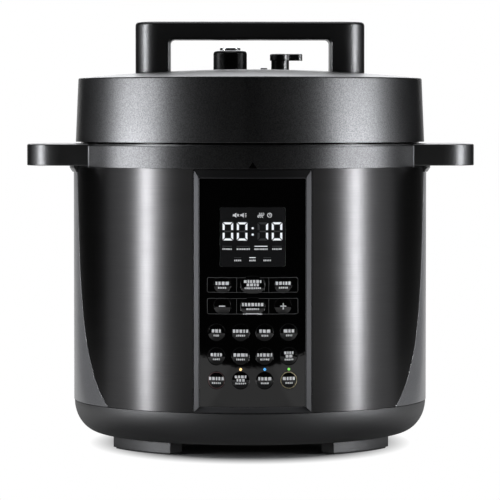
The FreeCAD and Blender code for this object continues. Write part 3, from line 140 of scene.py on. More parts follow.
class ShaderGraph:
    """Node tree of a material or world, built from expressions."""

    EDGE_SAMPLES = 6

    def __init__(self, name: str, world: bool = False) -> None:
        """Starts a new material or world with an empty tree.

        Args:
            name: its name.
            world: makes a world, in place of a material.
        """
        self.owner = (bpy.data.worlds if world else bpy.data.materials).new(name)
        self.output = "ShaderNodeOutputWorld" if world else "ShaderNodeOutputMaterial"
        self.owner.use_nodes = True
        self.tree = self.owner.node_tree
        self.tree.nodes.clear()

    def node(self, kind: str, settings: Mapping[str, object] | None = None, inputs: Inputs | None = None,
             output: SocketKey = 0) -> Value:
        """Adds one node.

        Args:
            kind: the node's type.
            settings: attributes, which are set before its sockets.
            inputs: numbers, colours or values for its sockets, by name or place.
            output: the socket to hand back.

        Returns:
            The chosen output as a value, or the input of an output node.
        """
        made = self.tree.nodes.new(kind)
        for key, setting in (settings or {}).items():
            setattr(made, key, setting)
        for key, feed in (inputs or {}).items():
            self._feed(made.inputs[key], feed)
        sockets = made.outputs or made.inputs
        return Value(self, sockets[output])

    def _feed(self, socket: bpy.types.NodeSocket, feed: Feed) -> None:
        """Links or sets one input socket.

        Args:
            socket: the input.
            feed: a value to link, or a number or colour to set.
        """
        if isinstance(feed, Value):
            self.tree.links.new(feed.socket, socket)
        elif isinstance(feed, tuple) and socket.type == "RGBA":
            socket.default_value = (*feed, 1.0)
        else:
            socket.default_value = feed

    def math(self, operation: str, first: Feed, second: Feed = 0.0) -> Value:
        """Adds one Math node."""
        return self.node("ShaderNodeMath", {"operation": operation}, {0: first, 1: second})

    def blend(self, factor: Feed, first: Feed, second: Feed) -> Value:
        """Mixes two colours: a factor of zero gives the first, one the second."""
        return self.node("ShaderNodeMix", {"data_type": "RGBA"}, {0: factor, 6: first, 7: second}, 2)

    def place(self) -> Value:
        """Place on the object, in metres."""
        return self.node("ShaderNodeTexCoord", output="Object")

    def axes(self, vector: Value) -> tuple[Value, ...]:
        """The three parts of a vector."""
        split = self.node("ShaderNodeSeparateXYZ", inputs={0: vector})
        return tuple(Value(self, socket) for socket in split.socket.node.outputs)

    def radius(self, east: Value, north: Value) -> Value:
        """Distance from the upright axis."""
        return self.math("SQRT", east * east + north * north)

    def ray(self, kind: str) -> Value:
        """One where the ray is of a kind, else zero."""
        return self.node("ShaderNodeLightPath", output=kind)

    def stretched(self, scale: Colour) -> Value:
        """Place on the object with each axis scaled."""
        return self.node("ShaderNodeVectorMath", {"operation": "MULTIPLY"}, {0: self.place(), 1: scale})

    def noise(self, vector: Value, scale: float, detail: float = 2.0) -> Value:
        """Smooth noise between zero and one."""
        return self.node("ShaderNodeTexNoise", inputs={"Vector": vector, "Scale": scale, "Detail": detail})

    def spread(self, value: Value, stretch: Point, ends: Point = (0.0, 1.0)) -> Value:
        """Maps a stretch of a value to another stretch, held at its ends."""
        bounds = (*stretch, *ends)
        return self.node("ShaderNodeMapRange", inputs={0: value, **dict(enumerate(bounds, 1))})

    def tones(self, noise: Value, colour: Colour, shares: Point, stretch: Point = MOST) -> Value:
        """Lets a colour follow noise from a darker to a lighter tone.

        Args:
            noise: what the tone follows.
            colour: the colour between the two tones.
            shares: the dark and the light tone, as shares of the colour.
            stretch: values of the noise at which they are reached.

        Returns:
            The uneven colour.
        """
        dark, light = (scaled(colour, share) for share in shares)
        return self.blend(self.spread(noise, stretch), dark, light)

    def bump(self, height: Value, distance: float, normal: Value | None = None) -> Value:
        """Gives a surface small heights.

        Args:
            height: height between zero and one.
            distance: depth of a height of one, in metres.
            normal: normal of the surface below, if it isn't the plain one.

        Returns:
            The bumped normal.
        """
        inputs: dict[SocketKey, Feed] = {"Height": height, "Distance": distance, "Strength": 1.0}
        if normal is not None:
            inputs["Normal"] = normal
        return self.node("ShaderNodeBump", inputs=inputs)

    def soft_edges(self, radius: float) -> Value:
        """Normal that rounds sharp edges by a radius."""
        return self.node("ShaderNodeBevel", {"samples": self.EDGE_SAMPLES}, {"Radius": radius})

    def surface(self, inputs: Inputs) -> Owner:
        """Ends the graph with one principled surface."""
        return self.close(self.node("ShaderNodeBsdfPrincipled", inputs=inputs))

    def close(self, shader: Value) -> Owner:
        """Links a shader to the output, and hands back the finished material or world."""
        self.node(self.output, inputs={"Surface": shader})
        return self.owner


@dataclass(frozen=True)
class MouldedPlastic:
    """Satin moulded plastic with a fine grain and slightly uneven gloss."""

    name: str
    colour: Colour
    roughness: float
    grain: float
    depth: float
    edge: float
    specular: float = 0.5

    TONES = (0.82, 1.35)
    STRETCH = (0.42, 0.66)
    GLOSS = (0.92, 1.08)

    def material(self) -> Material:
        """Builds the finish.

        Returns:
            The new material.
        """
        graph = ShaderGraph(self.name)
        place = graph.place()
        fine = graph.noise(place, self.grain, 3.0)
        colour = graph.tones(fine, self.colour, self.TONES, self.STRETCH)
        gloss = graph.spread(graph.noise(place, PATCHES), MOST, scaled(self.GLOSS, self.roughness))
        normal = graph.bump(fine, self.depth, graph.soft_edges(self.edge))
        return graph.surface({"Base Color": colour, "Roughness": gloss, "Normal": normal,
                              "Specular IOR Level": self.specular})


@dataclass(frozen=True)
class FlakeCoat:
    """Dark satin coating whose metal flakes show as an even grain, with a painted highlight on its ends
    where asked.
    """

    name: str
    colour: Colour
    edge: float
    painted_highlight_from: float | None = None

    FLAKES = 1200.0
    TONES = (0.76, 1.24)
    ROUGHNESS = (0.34 * 0.96, 0.34 * 1.04)
    DEPTH = 0.01 * MM
    # Colour of the painted highlight on the ends.
    PAINTED_HIGHLIGHT = (0.38, 0.38, 0.385)

    def material(self) -> Material:
        """Builds the finish.

        Returns:
            The new material.
        """
        graph = ShaderGraph(self.name)
        place = graph.place()
        flakes = graph.noise(place, self.FLAKES, 1.0)
        colour = graph.tones(flakes, self.colour, self.TONES, CORE)
        # Painted highlight: past a distance sideways, the ends are paler, as if their edges catch the light.
        if self.painted_highlight_from is not None:
            colour = graph.blend(abs(graph.axes(place)[0]) > self.painted_highlight_from, colour, self.PAINTED_HIGHLIGHT)
        gloss = graph.spread(graph.noise(place, PATCHES), MOST, self.ROUGHNESS)
        normal = graph.bump(flakes, self.DEPTH, graph.soft_edges(self.edge))
        return graph.surface({"Base Color": colour, "Metallic": 1.0, "Roughness": gloss, "Normal": normal})


@dataclass(frozen=True)
class BrushedSheet:
    """Dark steel sheet with fine brush lines round the body."""

    name: str
    colour: Colour
    roughness: float

    LINES = (40.0, 40.0, 9000.0)
    BANDS = (8.0, 8.0, 90.0)
    TONES = (0.88, 1.12)
    GLOSS = (0.97, 1.03)
    DEPTH = 0.006 * MM
    ANISOTROPY = 0.8
    QUARTER_TURN = 0.25

    def material(self) -> Material:
        """Builds the finish.

        Returns:
            The new material.
        """
        graph = ShaderGraph(self.name)
        streak = graph.noise(graph.stretched(self.LINES), 1.0, 4.0)
        broad = graph.noise(graph.stretched(self.BANDS), 1.0)
        return graph.surface({
            "Base Color": graph.tones(streak, self.colour, self.TONES),
            "Metallic": 1.0,
            "Roughness": graph.spread(broad, MOST, scaled(self.GLOSS, self.roughness)),
            "Normal": graph.bump(streak, self.DEPTH),
            "Anisotropic": self.ANISOTROPY,
            "Anisotropic Rotation": self.QUARTER_TURN,
        })


@dataclass(frozen=True)
class GlossPlastic:
    """Polished plastic with a faint orange-peel and fine smears."""

    name: str
    colour: Colour
    roughness: float
    edge: float = 0.3 * MM
    specular: float = 0.5

    SMEARS = 35.0
    SMEAR_STRETCH = (0.35, 0.75)
    GLOSS = (0.8, 1.3)
    DEEP = 0.8
    PEEL = 240.0
    PEEL_DEPTH = 0.004 * MM

    def material(self) -> Material:
        """Builds the finish.

        Returns:
            The new material.
        """
        graph = ShaderGraph(self.name)
        place = graph.place()
        smear = graph.noise(place, self.SMEARS, 4.0)
        peel = graph.noise(place, self.PEEL, 1.0)
        colour = graph.blend(smear, scaled(self.colour, self.DEEP), self.colour)
        gloss = graph.spread(smear, self.SMEAR_STRETCH, scaled(self.GLOSS, self.roughness))
        normal = graph.bump(peel, self.PEEL_DEPTH, graph.soft_edges(self.edge))
        return graph.surface({"Base Color": colour, "Roughness": gloss, "Normal": normal,
                              "Specular IOR Level": self.specular})


@dataclass(frozen=True)
class BareMetal:
    """Metal with turning marks about the upright axis, with painted shade outside a radius where asked."""

    name: str
    colour: Colour
    roughness: float
    painted_shade_from: float | None = None

    MARKS = 1400.0
    TONES = (0.86, 1.0)
    GLOSS = (0.85, 1.15)
    DEPTH = 0.004 * MM
    EDGE = 0.4 * MM
    # Colour of the painted shade outside the radius.
    PAINTED_SHADE = grey(0.01)

    def material(self) -> Material:
        """Builds the finish.

        Returns:
            The new material.
        """
        graph = ShaderGraph(self.name)
        east, north, up = graph.axes(graph.place())
        radius = graph.radius(east, north)
        turned = graph.node("ShaderNodeCombineXYZ", inputs={0: radius * self.MARKS, 1: up * self.MARKS})
        marks = graph.noise(turned, 1.0, 3.0)
        colour = graph.tones(marks, self.colour, self.TONES)
        # Painted shade: outside the radius the metal is darkened, for the shaded gap under the lid's rim.
        if self.painted_shade_from is not None:
            colour = graph.blend(radius > self.painted_shade_from, colour, self.PAINTED_SHADE)
        gloss = graph.spread(marks, MOST, scaled(self.GLOSS, self.roughness))
        normal = graph.bump(marks, self.DEPTH, graph.soft_edges(self.EDGE))
        return graph.surface({"Base Color": colour, "Metallic": 1.0, "Roughness": gloss, "Normal": normal})


@dataclass(frozen=True)
class PanelFrame:
    """Dark metal frame with a painted highlight on its steep flanks, a painted reflection on its foot, and a
    thin painted highlight line round its inner edge.
    """

    name: str
    colour: Colour
    # Colours of the painted highlight on the flanks, the painted highlight line round the inner edge, and
    # the painted reflection on the foot.
    flank_highlight: Colour
    line: Colour
    foot: Colour
    edge_highlight_radius: float
    flank_highlight_from: float
    foot_reflection_to: float

    GRAIN = 900.0
    ROUGHNESS = (0.3 * 0.95, 0.3 * 1.05)
    STEEP = 0.38

    def material(self) -> Material:
        """Builds the finish.

        Returns:
            The new material.
        """
        graph = ShaderGraph(self.name)
        place = graph.place()
        east, north, up = graph.axes(place)
        slant = graph.axes(graph.node("ShaderNodeNewGeometry", output="True Normal"))[0]
        # Painted reflection: below a height, the foot is paler.
        colour = graph.blend(up < self.foot_reflection_to, self.colour, self.foot)
        # Painted highlight: a thin pale line round the inner edge.
        colour = graph.blend(graph.radius(east, north) < self.edge_highlight_radius, colour, self.line)
        # Painted highlight: the steep flanks, past a distance sideways, are paler, as if lit by the side
        # lights.
        highlight_on_flank = (abs(slant) > self.STEEP) * (abs(east) > self.flank_highlight_from)
        colour = graph.blend(highlight_on_flank, colour, self.flank_highlight)
        gloss = graph.spread(graph.noise(place, self.GRAIN, 3.0), MOST, self.ROUGHNESS)
        return graph.surface({"Base Color": colour, "Metallic": 1.0, "Roughness": gloss})


@dataclass(frozen=True)
class ClearPlastic:
    """See-through plastic with faint flow marks."""

    name: str
    colour: Colour
    roughness: float
    alpha: float

    FLOW = 60.0
    GLOSS = (1.0, 2.0)
    VEIL = (0.9, 1.1)

    def material(self) -> Material:
        """Builds the finish.

        Returns:
            The new material.
        """
        graph = ShaderGraph(self.name)
        flow = graph.noise(graph.place(), self.FLOW, 3.0)
        gloss = graph.spread(flow, MOST, scaled(self.GLOSS, self.roughness))
        veil = graph.spread(flow, MOST, scaled(self.VEIL, self.alpha))
        return graph.surface({"Base Color": self.colour, "Roughness": gloss, "Alpha": veil})


@dataclass(frozen=True)
class CircuitBoard:
    """Green board with paler tracks."""

    name: str
    colour: Colour
    track: Colour

    CELLS = 260.0
    TRACK_WIDTH = 0.03
    STAINS = 80.0
    ROUGHNESS = (0.3, 0.5)

    def material(self) -> Material:
        """Builds the finish.

        Returns:
            The new material.
        """
        graph = ShaderGraph(self.name)
        place = graph.place()
        cells = graph.node("ShaderNodeTexBrick", {"offset": 0.5}, {
            "Vector": place, "Scale": self.CELLS, "Color1": self.colour, "Color2": self.colour,
            "Mortar": self.track, "Mortar Size": self.TRACK_WIDTH})
        gloss = graph.spread(graph.noise(place, self.STAINS), MOST, self.ROUGHNESS)
        return graph.surface({"Base Color": cells, "Roughness": gloss})


@dataclass(frozen=True)
class PrintInk:
    """Printed mark or lit segment, slightly uneven in density."""

    name: str
    colour: Colour
    glow: float = 0.0
    specular: float = 0.5

    DENSITY = 2600.0
    TONES = (0.85, 1.0)
    ROUGHNESS = 0.5
    BEHIND_GLOW = grey(0.01)

    def material(self) -> Material:
        """Builds the finish.

        Returns:
            The new material.
        """
        graph = ShaderGraph(self.name)
        density = graph.noise(graph.place(), self.DENSITY)
        colour = graph.tones(density, self.colour, self.TONES, CORE)
        inputs = {"Base Color": colour, "Roughness": self.ROUGHNESS, "Specular IOR Level": self.specular}
        if self.glow > 0.0:
            inputs["Base Color"] = self.BEHIND_GLOW
            inputs["Emission Color"] = colour
            inputs["Emission Strength"] = self.glow
        return graph.surface(inputs)


@dataclass(frozen=True)
class LightPipes:
    """Three small lights, told apart by their place across the panel."""

    name: str
    left: Colour
    middle: Colour
    right: Colour
    split_low: float
    split_high: float

    ROUGHNESS = 0.3
    GLOW = 1.0

    def material(self) -> Material:
        """Builds the finish.

        Returns:
            The new material.
        """
        graph = ShaderGraph(self.name)
        across = graph.axes(graph.place())[0]
        colour = graph.blend(across > self.split_low, self.left, self.middle)
        colour = graph.blend(across > self.split_high, colour, self.right)
        return graph.surface({"Base Color": colour, "Roughness": self.ROUGHNESS, "Emission Color": colour,
                              "Emission Strength": self.GLOW})


class Finish(Enum):
    """Every finish of the cooker."""

    # Name, colour, roughness, grains to the metre, depth of the grain, softness of edges, specular level.
    SHELL = MouldedPlastic("satin_shell", (0.095, 0.095, 0.097), 0.3, 1500.0, 0.03 * MM, 0.6 * MM, 1.0)
    BASE = MouldedPlastic("base_plastic", (0.0015, 0.0015, 0.0016), 0.48, 1500.0, 0.05 * MM, 0.6 * MM, 1.0)
    BLACK = MouldedPlastic("satin_black", grey(0.001), 0.32, 1400.0, 0.12 * MM, 0.8 * MM, 0.95)
    RUBBER = MouldedPlastic("foot_rubber", grey(0.02), 0.7, 500.0, 0.08 * MM, 0.6 * MM)
    SILICONE = MouldedPlastic("silicone", (0.62, 0.62, 0.6), 0.45, 300.0, 0.03 * MM, 0.8 * MM)
    LID = FlakeCoat("grained_lid", (0.104, 0.104, 0.105), 0.7 * MM)
    # The trim's ends, past this distance sideways, carry a painted highlight.
    TRIM = FlakeCoat("collar_trim", (0.056, 0.056, 0.0565), 0.4 * MM, painted_highlight_from=120.2 * MM)
    STEEL_DARK = BrushedSheet("dark_brushed_steel", (0.06, 0.059, 0.059), 0.36)
    STEEL = BareMetal("plain_steel", grey(0.6), 0.25)
    # The steel lid's rim carries painted shade where it shows in the gap between lid cover and collar.
    LID_STEEL = BareMetal("lid_steel", grey(0.6), 0.25, painted_shade_from=126.0 * MM)
    ALUMINIUM = BareMetal("plain_aluminium", (0.68, 0.68, 0.69), 0.35)
    POLISHED = BareMetal("polished_disc", grey(0.8), 0.1)
    BRASS = BareMetal("plated_brass", (0.72, 0.62, 0.38), 0.25)
    GLOSS = GlossPlastic("gloss_black", grey(0.0004), 0.025)
    KEYS = GlossPlastic("key_black", grey(0.0004), 0.03)
    WINDOW = GlossPlastic("display_window", (0.0105, 0.0107, 0.011), 0.09)
    VALVE = GlossPlastic("valve_black", (0.002, 0.002, 0.0021), 0.26, 0.8 * MM, 1.0)
    # The frame's flank and inner line colours are painted highlights, and its foot colour is a painted
    # reflection.
    BEZEL = PanelFrame("panel_frame", (0.02, 0.02, 0.0205), flank_highlight=(0.115, 0.115, 0.119),
                       line=(0.07, 0.07, 0.072), foot=(0.045, 0.045, 0.046),
                       edge_highlight_radius=131.3 * MM, flank_highlight_from=39.1 * MM, foot_reflection_to=39.5 * MM)
    BOARD = CircuitBoard("circuit_board", (0.02, 0.11, 0.05), (0.08, 0.25, 0.12))
    CLEAR = ClearPlastic("clear_cup", (0.75, 0.77, 0.79), 0.06, 0.35)
    PRINT = PrintInk("white_print", grey(0.75))
    PRINT_SOFT = PrintInk("grey_print", grey(0.045))
    PRINT_BLACK = PrintInk("black_print", grey(0.001), specular=0.0)
    RING_RED = PrintInk("red_ring", (0.11, 0.05, 0.05))
    RING_GOLD = PrintInk("gold_ring", (0.5, 0.43, 0.26))
    LIT = PrintInk("lit_segment", (0.92, 0.95, 1.0), glow=1.0)
    UNLIT = PrintInk("unlit_segment", (0.02, 0.021, 0.022))
    LIGHTS = LightPipes("indicator_lights", (1.0, 0.68, 0.3), (0.07, 0.32, 0.68), (0.18, 0.55, 0.1),
                        split_low=0.0, split_high=17.5 * MM)


class Paint:
    """Makes each finish once and puts it on objects."""

    def __init__(self) -> None:
        """Starts with no material made."""
        self.made: dict[Finish, Material] = {}

    def on(self, thing: bpy.types.Object, finish: Finish) -> None:
        """Gives an object one finish all over.

        Args:
            thing: a mesh object.
            finish: its finish.
        """
        if finish not in self.made:
            self.made[finish] = finish.value.material()
        thing.data.materials.clear()
        thing.data.materials.append(self.made[finish])
        LOG.info("%s: %s", thing.name, finish.value.name)


class Ink:
    """Flat shapes drawn in two coordinates, in metres, and laid on a curved face."""

    STEP = 1.5 * MM
    WELD = 0.002 * MM
    ARC_STEP = 9.0
    FEWEST_ARCS = 6
    FEWEST_BLOCKS = 2
    BLOCK_GAP = 0.32
    BLOCK_SHARES = (0.7, 0.85, 1.0, 1.15)
    SEED_STEP = 3

    def __init__(self, lay: Callable[[float, float], Vector]) -> None:
        """Starts with nothing drawn.

        Args:
            lay: gives the place on the face of a sideways and an upward coordinate.
        """
        self.lay = lay
        self.faces: list[list[Point]] = []

    def stroke(self, start: Point, end: Point, width: float) -> None:
        """Draws a straight band, in steps that follow the curved face.

        Args:
            start: middle of its first end.
            end: middle of its other end.
            width: width of the band.
        """
        along = Vector(end) - Vector(start)
        side = Vector((-along.y, along.x)).normalized() * (width / 2)
        count = max(1, math.ceil(along.length / self.STEP))
        for number in range(count):
            near = Vector(start) + along * (number / count)
            far = Vector(start) + along * ((number + 1) / count)
            self.faces.append([tuple(near - side), tuple(far - side), tuple(far + side), tuple(near + side)])

    def bar(self, middle: Point, width: float, height: float) -> None:
        """Draws an upright rectangle about its middle."""
        x, z = middle
        self.stroke((x - width / 2, z), (x + width / 2, z), height)

    def frame(self, low: Point, high: Point, width: float, corner: float) -> None:
        """Draws the outline of a rectangle with rounded corners.

        Args:
            low: its lower left corner.
            high: its upper right corner.
            width: width of the line.
            corner: radius of the corners.
        """
        left, right = low[0] + corner, high[0] - corner
        foot, top = low[1] + corner, high[1] - corner
        for z in (low[1], high[1]):
            self.stroke((left, z), (right, z), width)
        for x in (low[0], high[0]):
            self.stroke((x, foot), (x, top), width)
        for number, middle in enumerate(((right, top), (left, top), (left, foot), (right, foot))):
            self.arc(middle, corner, width, 90.0 * number, 90.0)

    def arc(self, middle: Point, radius: float, width: float, start: float = 0.0,
            sweep: float = 360.0) -> None:
        """Draws part of a ring.

        Args:
            middle: its centre.
            radius: radius at the middle of the band.
            width: width of the band.
            start: first angle in degrees, from the right.
            sweep: how far it goes on, in degrees.
        """
        count = max(self.FEWEST_ARCS, math.ceil(sweep / self.ARC_STEP))
        turns = [math.radians(start + sweep * number / count) for number in range(count + 1)]
        for first, second in zip(turns, turns[1:]):
            corners = []
            for turn, reach in ((first, -1), (second, -1), (second, 1), (first, 1)):
                size = radius + reach * width / 2
                corners.append((middle[0] + size * math.cos(turn), middle[1] + size * math.sin(turn)))
            self.faces.append(corners)

    def dot(self, middle: Point, radius: float) -> None:
        """Draws a filled circle."""
        self.arc(middle, radius / 2, radius)

    def blocks(self, middle: Point, width: float, height: float, seed: int) -> None:
        """Draws a row of plain blocks.

        Args:
            middle: middle of the row.
            width: length of the row.
            height: height of the blocks.
            seed: shifts the pattern of block widths.
        """
        gap = height * self.BLOCK_GAP
        count = max(self.FEWEST_BLOCKS, round(width / height))
        kinds = len(self.BLOCK_SHARES)
        shares = [self.BLOCK_SHARES[(number + seed * self.SEED_STEP) % kinds] for number in range(count)]
        unit = (width - gap * (count - 1)) / sum(shares)
        x = middle[0] - width / 2
        for share in shares:
            self.bar((x + unit * share / 2, middle[1]), unit * share, height)
            x += unit * share + gap

    def build(self, name: str, body: str, slot: str) -> bpy.types.Object:
        """Makes one mesh of everything drawn.

        Args:
            name: the piece's name.
            body: the body that it rides on.
            slot: the record's material slot; not used.

        Returns:
            The new object.
        """
        mesh = bmesh.new()
        for face in self.faces:
            mesh.faces.new([mesh.verts.new(self.lay(x, z)) for x, z in face])
        bmesh.ops.remove_doubles(mesh, verts=mesh.verts, dist=self.WELD)
        data = bpy.data.meshes.new(name)
        mesh.to_mesh(data)
        mesh.free()
        thing = bpy.data.objects.new(name, data)
        bpy.context.scene.collection.objects.link(thing)
        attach(thing, body)
        return thing


@dataclass
class Cylinder:
    """Upright curved face about the pot axis, seen from the front."""

    radius: float
    lift: float = 0.04 * MM

    def lay(self, x: float, z: float) -> Vector:
        """Place on the face of a sideways and an upward coordinate."""
        return Vector((x, -math.sqrt((self.radius + self.lift) ** 2 - x * x), z))


@dataclass
class KeyFace:
    """Crowned face of one key, which points away from the pot axis."""

    outward: Vector
    height: float
    top: float
    crown_radius: float
    lift: float = 0.04 * MM

    def lay(self, x: float, z: float) -> Vector:
        """Finds a place on the key.

        Args:
            x: sideways coordinate from its middle.
            z: upward coordinate from its middle.

        Returns:
            The place.
        """
        reach = self.top + self.lift - (x * x + z * z) / (2 * self.crown_radius)
        side = Vector((-self.outward.y, self.outward.x, 0.0))
        return self.outward * reach + side * x + Vector((0.0, 0.0, self.height + z))


@dataclass
class PanelKey:
    """One key of the panel: round, or oval where it is longer."""

    node: str
    half_length: float
    crown: float = 0.8 * MM

    def face(self, frame: dict) -> KeyFace:
        """Reads the key's face from the frame.

        Args:
            frame: the loaded frame.

        Returns:
            Its face.
        """
        joint = next(joint for joint in frame["joints"] if joint["child"] == self.node)
        outward = -Vector(joint["axis"])
        low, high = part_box(self.node)
        top = max(outward.dot(vertex.co) for vertex in frame["nodes"][self.node].data.vertices)
        return KeyFace(outward, (low[2] + high[2]) / 2, top, self.half_length ** 2 / (2 * self.crown))


class KeyMark(Enum):
    """What a key carries."""

    CAPTION = "caption"
    TWO_LINES = "two lines"
    MINUS = "minus"
    PLUS = "plus"
    TIME = "time"


@dataclass
class DisplayPrint:
    """Segments and small signs that show through the display window."""

    digit_width: float = 7.6 * MM
    digit_height: float = 13.1 * MM
    digits_drop: float = 17.2 * MM
    stroke: float = 1.5 * MM
    joint: float = 0.5 * MM
    digit_places: tuple[float, ...] = (-17.85 * MM, -7.6 * MM, 7.3 * MM, 17.55 * MM)
    reading: str = "0010"
    colon_radius: float = 0.8 * MM
    colon_half: float = 2.3 * MM
    upper_row_drop: float = 29.95 * MM
    upper_row: tuple[Point, ...] = (
        (-18.4 * MM, 6.6 * MM), (-6.8 * MM, 9.5 * MM), (6.0 * MM, 9.4 * MM), (17.45 * MM, 6.6 * MM))
    lower_row_drop: float = 38.15 * MM
    lower_row: tuple[Point, ...] = ((-10.8 * MM, 5.1 * MM), (-0.2 * MM, 4.5 * MM), (10.45 * MM, 5.4 * MM))
    block_height: float = 1.15 * MM
    line: float = 0.5 * MM
    line_rise: float = 2.05 * MM
    icon_drop: float = 5.55 * MM
    icon_size: float = 3.5 * MM
    icon_places: tuple[float, ...] = (-12.0 * MM, -6.6 * MM, 6.3 * MM, 12.2 * MM)

    SEGMENTS = {"0": "abcdef", "1": "bc"}
    MIDDLE_SEGMENT = 0.7
    LIT_UPPER = 2
    LIT_LOWER = 1
    # Shapes of the signs, as shares of their size.
    THIN = 0.16
    SPEAKER = (((-0.65, -0.2), (-0.25, -0.2), (-0.25, 0.2), (-0.65, 0.2)),
               ((-0.35, -0.2), (0.05, -0.5), (0.05, 0.5), (-0.35, 0.2)))
    CROSS_AT, CROSS_REACH = 0.4, 0.224
    SOUND_AT, SOUND_LENGTH, SOUND_RISES = 0.45, 0.32, (-0.32, 0.0, 0.32)
    HEAT_PLACES, HEAT_BEND = (-0.5, -0.1, 0.3), 0.22
    DIAL, HANDS = 0.42, ((0.0, 0.3), (0.22, 0.0))

    def draw(self, paint: Paint) -> None:
        """Draws everything that the display shows.

        Args:
            paint: puts the finishes on.
        """
        low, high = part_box("display_window")
        face = Cylinder(-low[1])
        lit, soft, dim = Ink(face.lay), Ink(face.lay), Ink(face.lay)
        middle = high[2] - self.digits_drop
        for place, digit in zip(self.digit_places, self.reading):
            for segment in "abcdefg":
                ink = lit if segment in self.SEGMENTS[digit] else dim
                self._segment(ink, segment, place, middle)
        for side in (-1, 1):
            lit.dot((0.0, middle + side * self.colon_half), self.colon_radius)
        rows = ((self.upper_row, self.upper_row_drop, self.LIT_UPPER),
                (self.lower_row, self.lower_row_drop, self.LIT_LOWER))
        for row, drop, chosen in rows:
            for number, (place, width) in enumerate(row):
                soft.blocks((place, high[2] - drop), width, self.block_height, number)
                ink = lit if number == chosen else dim
                ink.bar((place, high[2] - drop + self.line_rise), width, self.line)
        self._icons(soft, high[2] - self.icon_drop)
        for name, ink, finish in (("display_lit", lit, Finish.LIT), ("display_signs", soft, Finish.PRINT),
                                  ("display_unlit", dim, Finish.UNLIT)):
            paint.on(ink.build(name, "cooker", "display"), finish)

    def _segment(self, ink: Ink, segment: str, place: float, middle: float) -> None:
        """Draws one segment of a digit as a mitred band.

        Args:
            ink: where it is drawn.
            segment: a to g, clockwise from the top with g in the middle.
            place: the digit's middle across the window.
            middle: the digit's middle height.
        """
        half_w, half_h, thick, gap = self.digit_width / 2, self.digit_height / 2, self.stroke, self.joint
        left, right = place - half_w, place + half_w
        if segment in "ad":
            sign = 1 if segment == "a" else -1
            edge = middle + sign * half_h
            inner = edge - sign * thick
            ink.faces.append([(left + gap, edge), (right - gap, edge), (right - thick - gap, inner),
                              (left + thick + gap, inner)])
        elif segment == "g":
            ink.bar((place, middle), self.digit_width - 2 * thick, thick * self.MIDDLE_SEGMENT)
        else:
            outer, sign = (right, 1) if segment in "bc" else (left, -1)
            inner = outer - sign * thick
            end = 1 if segment in "bf" else -1
            tip, root = middle + end * (half_h - gap), middle + end * 2 * gap
            ink.faces.append([(outer, tip), (outer, root), (inner, root), (inner, tip - end * thick)])

    def _icons(self, ink: Ink, height: float) -> None:
        """Draws plain sound off, sound, heat and timer signs.

        Args:
            ink: where they are drawn.
            height: middle height of the row.
        """
        size, thin = self.icon_size, self.icon_size * self.THIN
        silent, sound, heat, timer = self.icon_places
        for place in (silent, sound):
            for outline in self.SPEAKER:
                ink.faces.append([(place + size * x, height + size * z) for x, z in outline])
        cross, reach = silent + size * self.CROSS_AT, size * self.CROSS_REACH
        for rise in (-reach, reach):
            ink.stroke((cross - reach, height - rise), (cross + reach, height + rise), thin)
        for rise in self.SOUND_RISES:
            ink.bar((sound + size * self.SOUND_AT, height + size * rise), size * self.SOUND_LENGTH, thin)
        bend = size * self.HEAT_BEND
        for x in self.HEAT_PLACES:
            ink.arc((heat + size * x, height + bend), bend, thin, -90.0, 180.0)
            ink.arc((heat + size * x, height - bend), bend, thin, 90.0, 180.0)
        ink.arc((timer, height), size * self.DIAL, thin)
        for x, z in self.HANDS:
            ink.stroke((timer, height), (timer + size * x, height + size * z), thin)


class SubAssembly:
    """Nodes of the frame that belong together, with the finish of each."""

    FINISHES: Mapping[Finish, tuple[str, ...]] = {}

    def draw(self, frame: dict, paint: Paint) -> None:
        """Puts the finishes on the nodes.

        Args:
            frame: the loaded frame.
            paint: puts the finishes on.
        """
        for finish, nodes in self.FINISHES.items():
            for node in nodes:
                paint.on(frame["nodes"][node], finish)


@dataclass
class Body(SubAssembly):
    """Base, wrap, shell, collar, handles, inlet and cup."""

    mark_half_width: float = 3.1 * MM
    mark_height: float = 4.6 * MM
    mark_rise: float = 0.15 * MM
    mark_strips: int = 6

    FINISHES = {
        Finish.SHELL: ("rear_shell",),
        Finish.BASE: ("base_pan",),
        Finish.RUBBER: ("foot_pads",),
        Finish.STEEL_DARK: ("front_wrap",),
        Finish.BLACK: ("upper_collar", "side_handle_left", "side_handle_right", "power_inlet"),
        Finish.TRIM: ("collar_trim_front", "collar_trim_rear"),
        Finish.STEEL: ("base_screws",),
        Finish.BRASS: ("inlet_pins",),
        Finish.CLEAR: ("condensation_cup",),
    }

    def draw(self, frame: dict, paint: Paint) -> None:
        """Dresses the body and draws the closing mark, a triangle in upright strips, on its front trim.

        Args:
            frame: the loaded frame.
            paint: puts the finishes on.
        """
        super().draw(frame, paint)
        low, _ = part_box("collar_trim_front")
        ink = Ink(Cylinder(-low[1]).lay)
        foot = low[2] + self.mark_rise
        strip = 2 * self.mark_half_width / self.mark_strips
        for number in range(self.mark_strips):
            left = number * strip - self.mark_half_width
            right = left + strip
            tops = [foot + self.mark_height * (1.0 - abs(x) / self.mark_half_width) for x in (left, right)]
            ink.faces.append([(left, foot), (right, foot), (right, tops[1]), (left, tops[0])])
        paint.on(ink.build("closing_mark", "cooker", "trim_metal"), Finish.PRINT_BLACK)


class Heater(SubAssembly):
    """Housing, plate, sensor, switches and power board under the pot."""

    FINISHES = {
        Finish.ALUMINIUM: ("inner_housing", "heating_plate"),
        Finish.STEEL: ("locking_ring", "heating_element", "plate_bracket", "temperature_sensor"),
        Finish.BLACK: ("pressure_switch", "thermal_fuse"),
        Finish.BOARD: ("power_board",),
    }


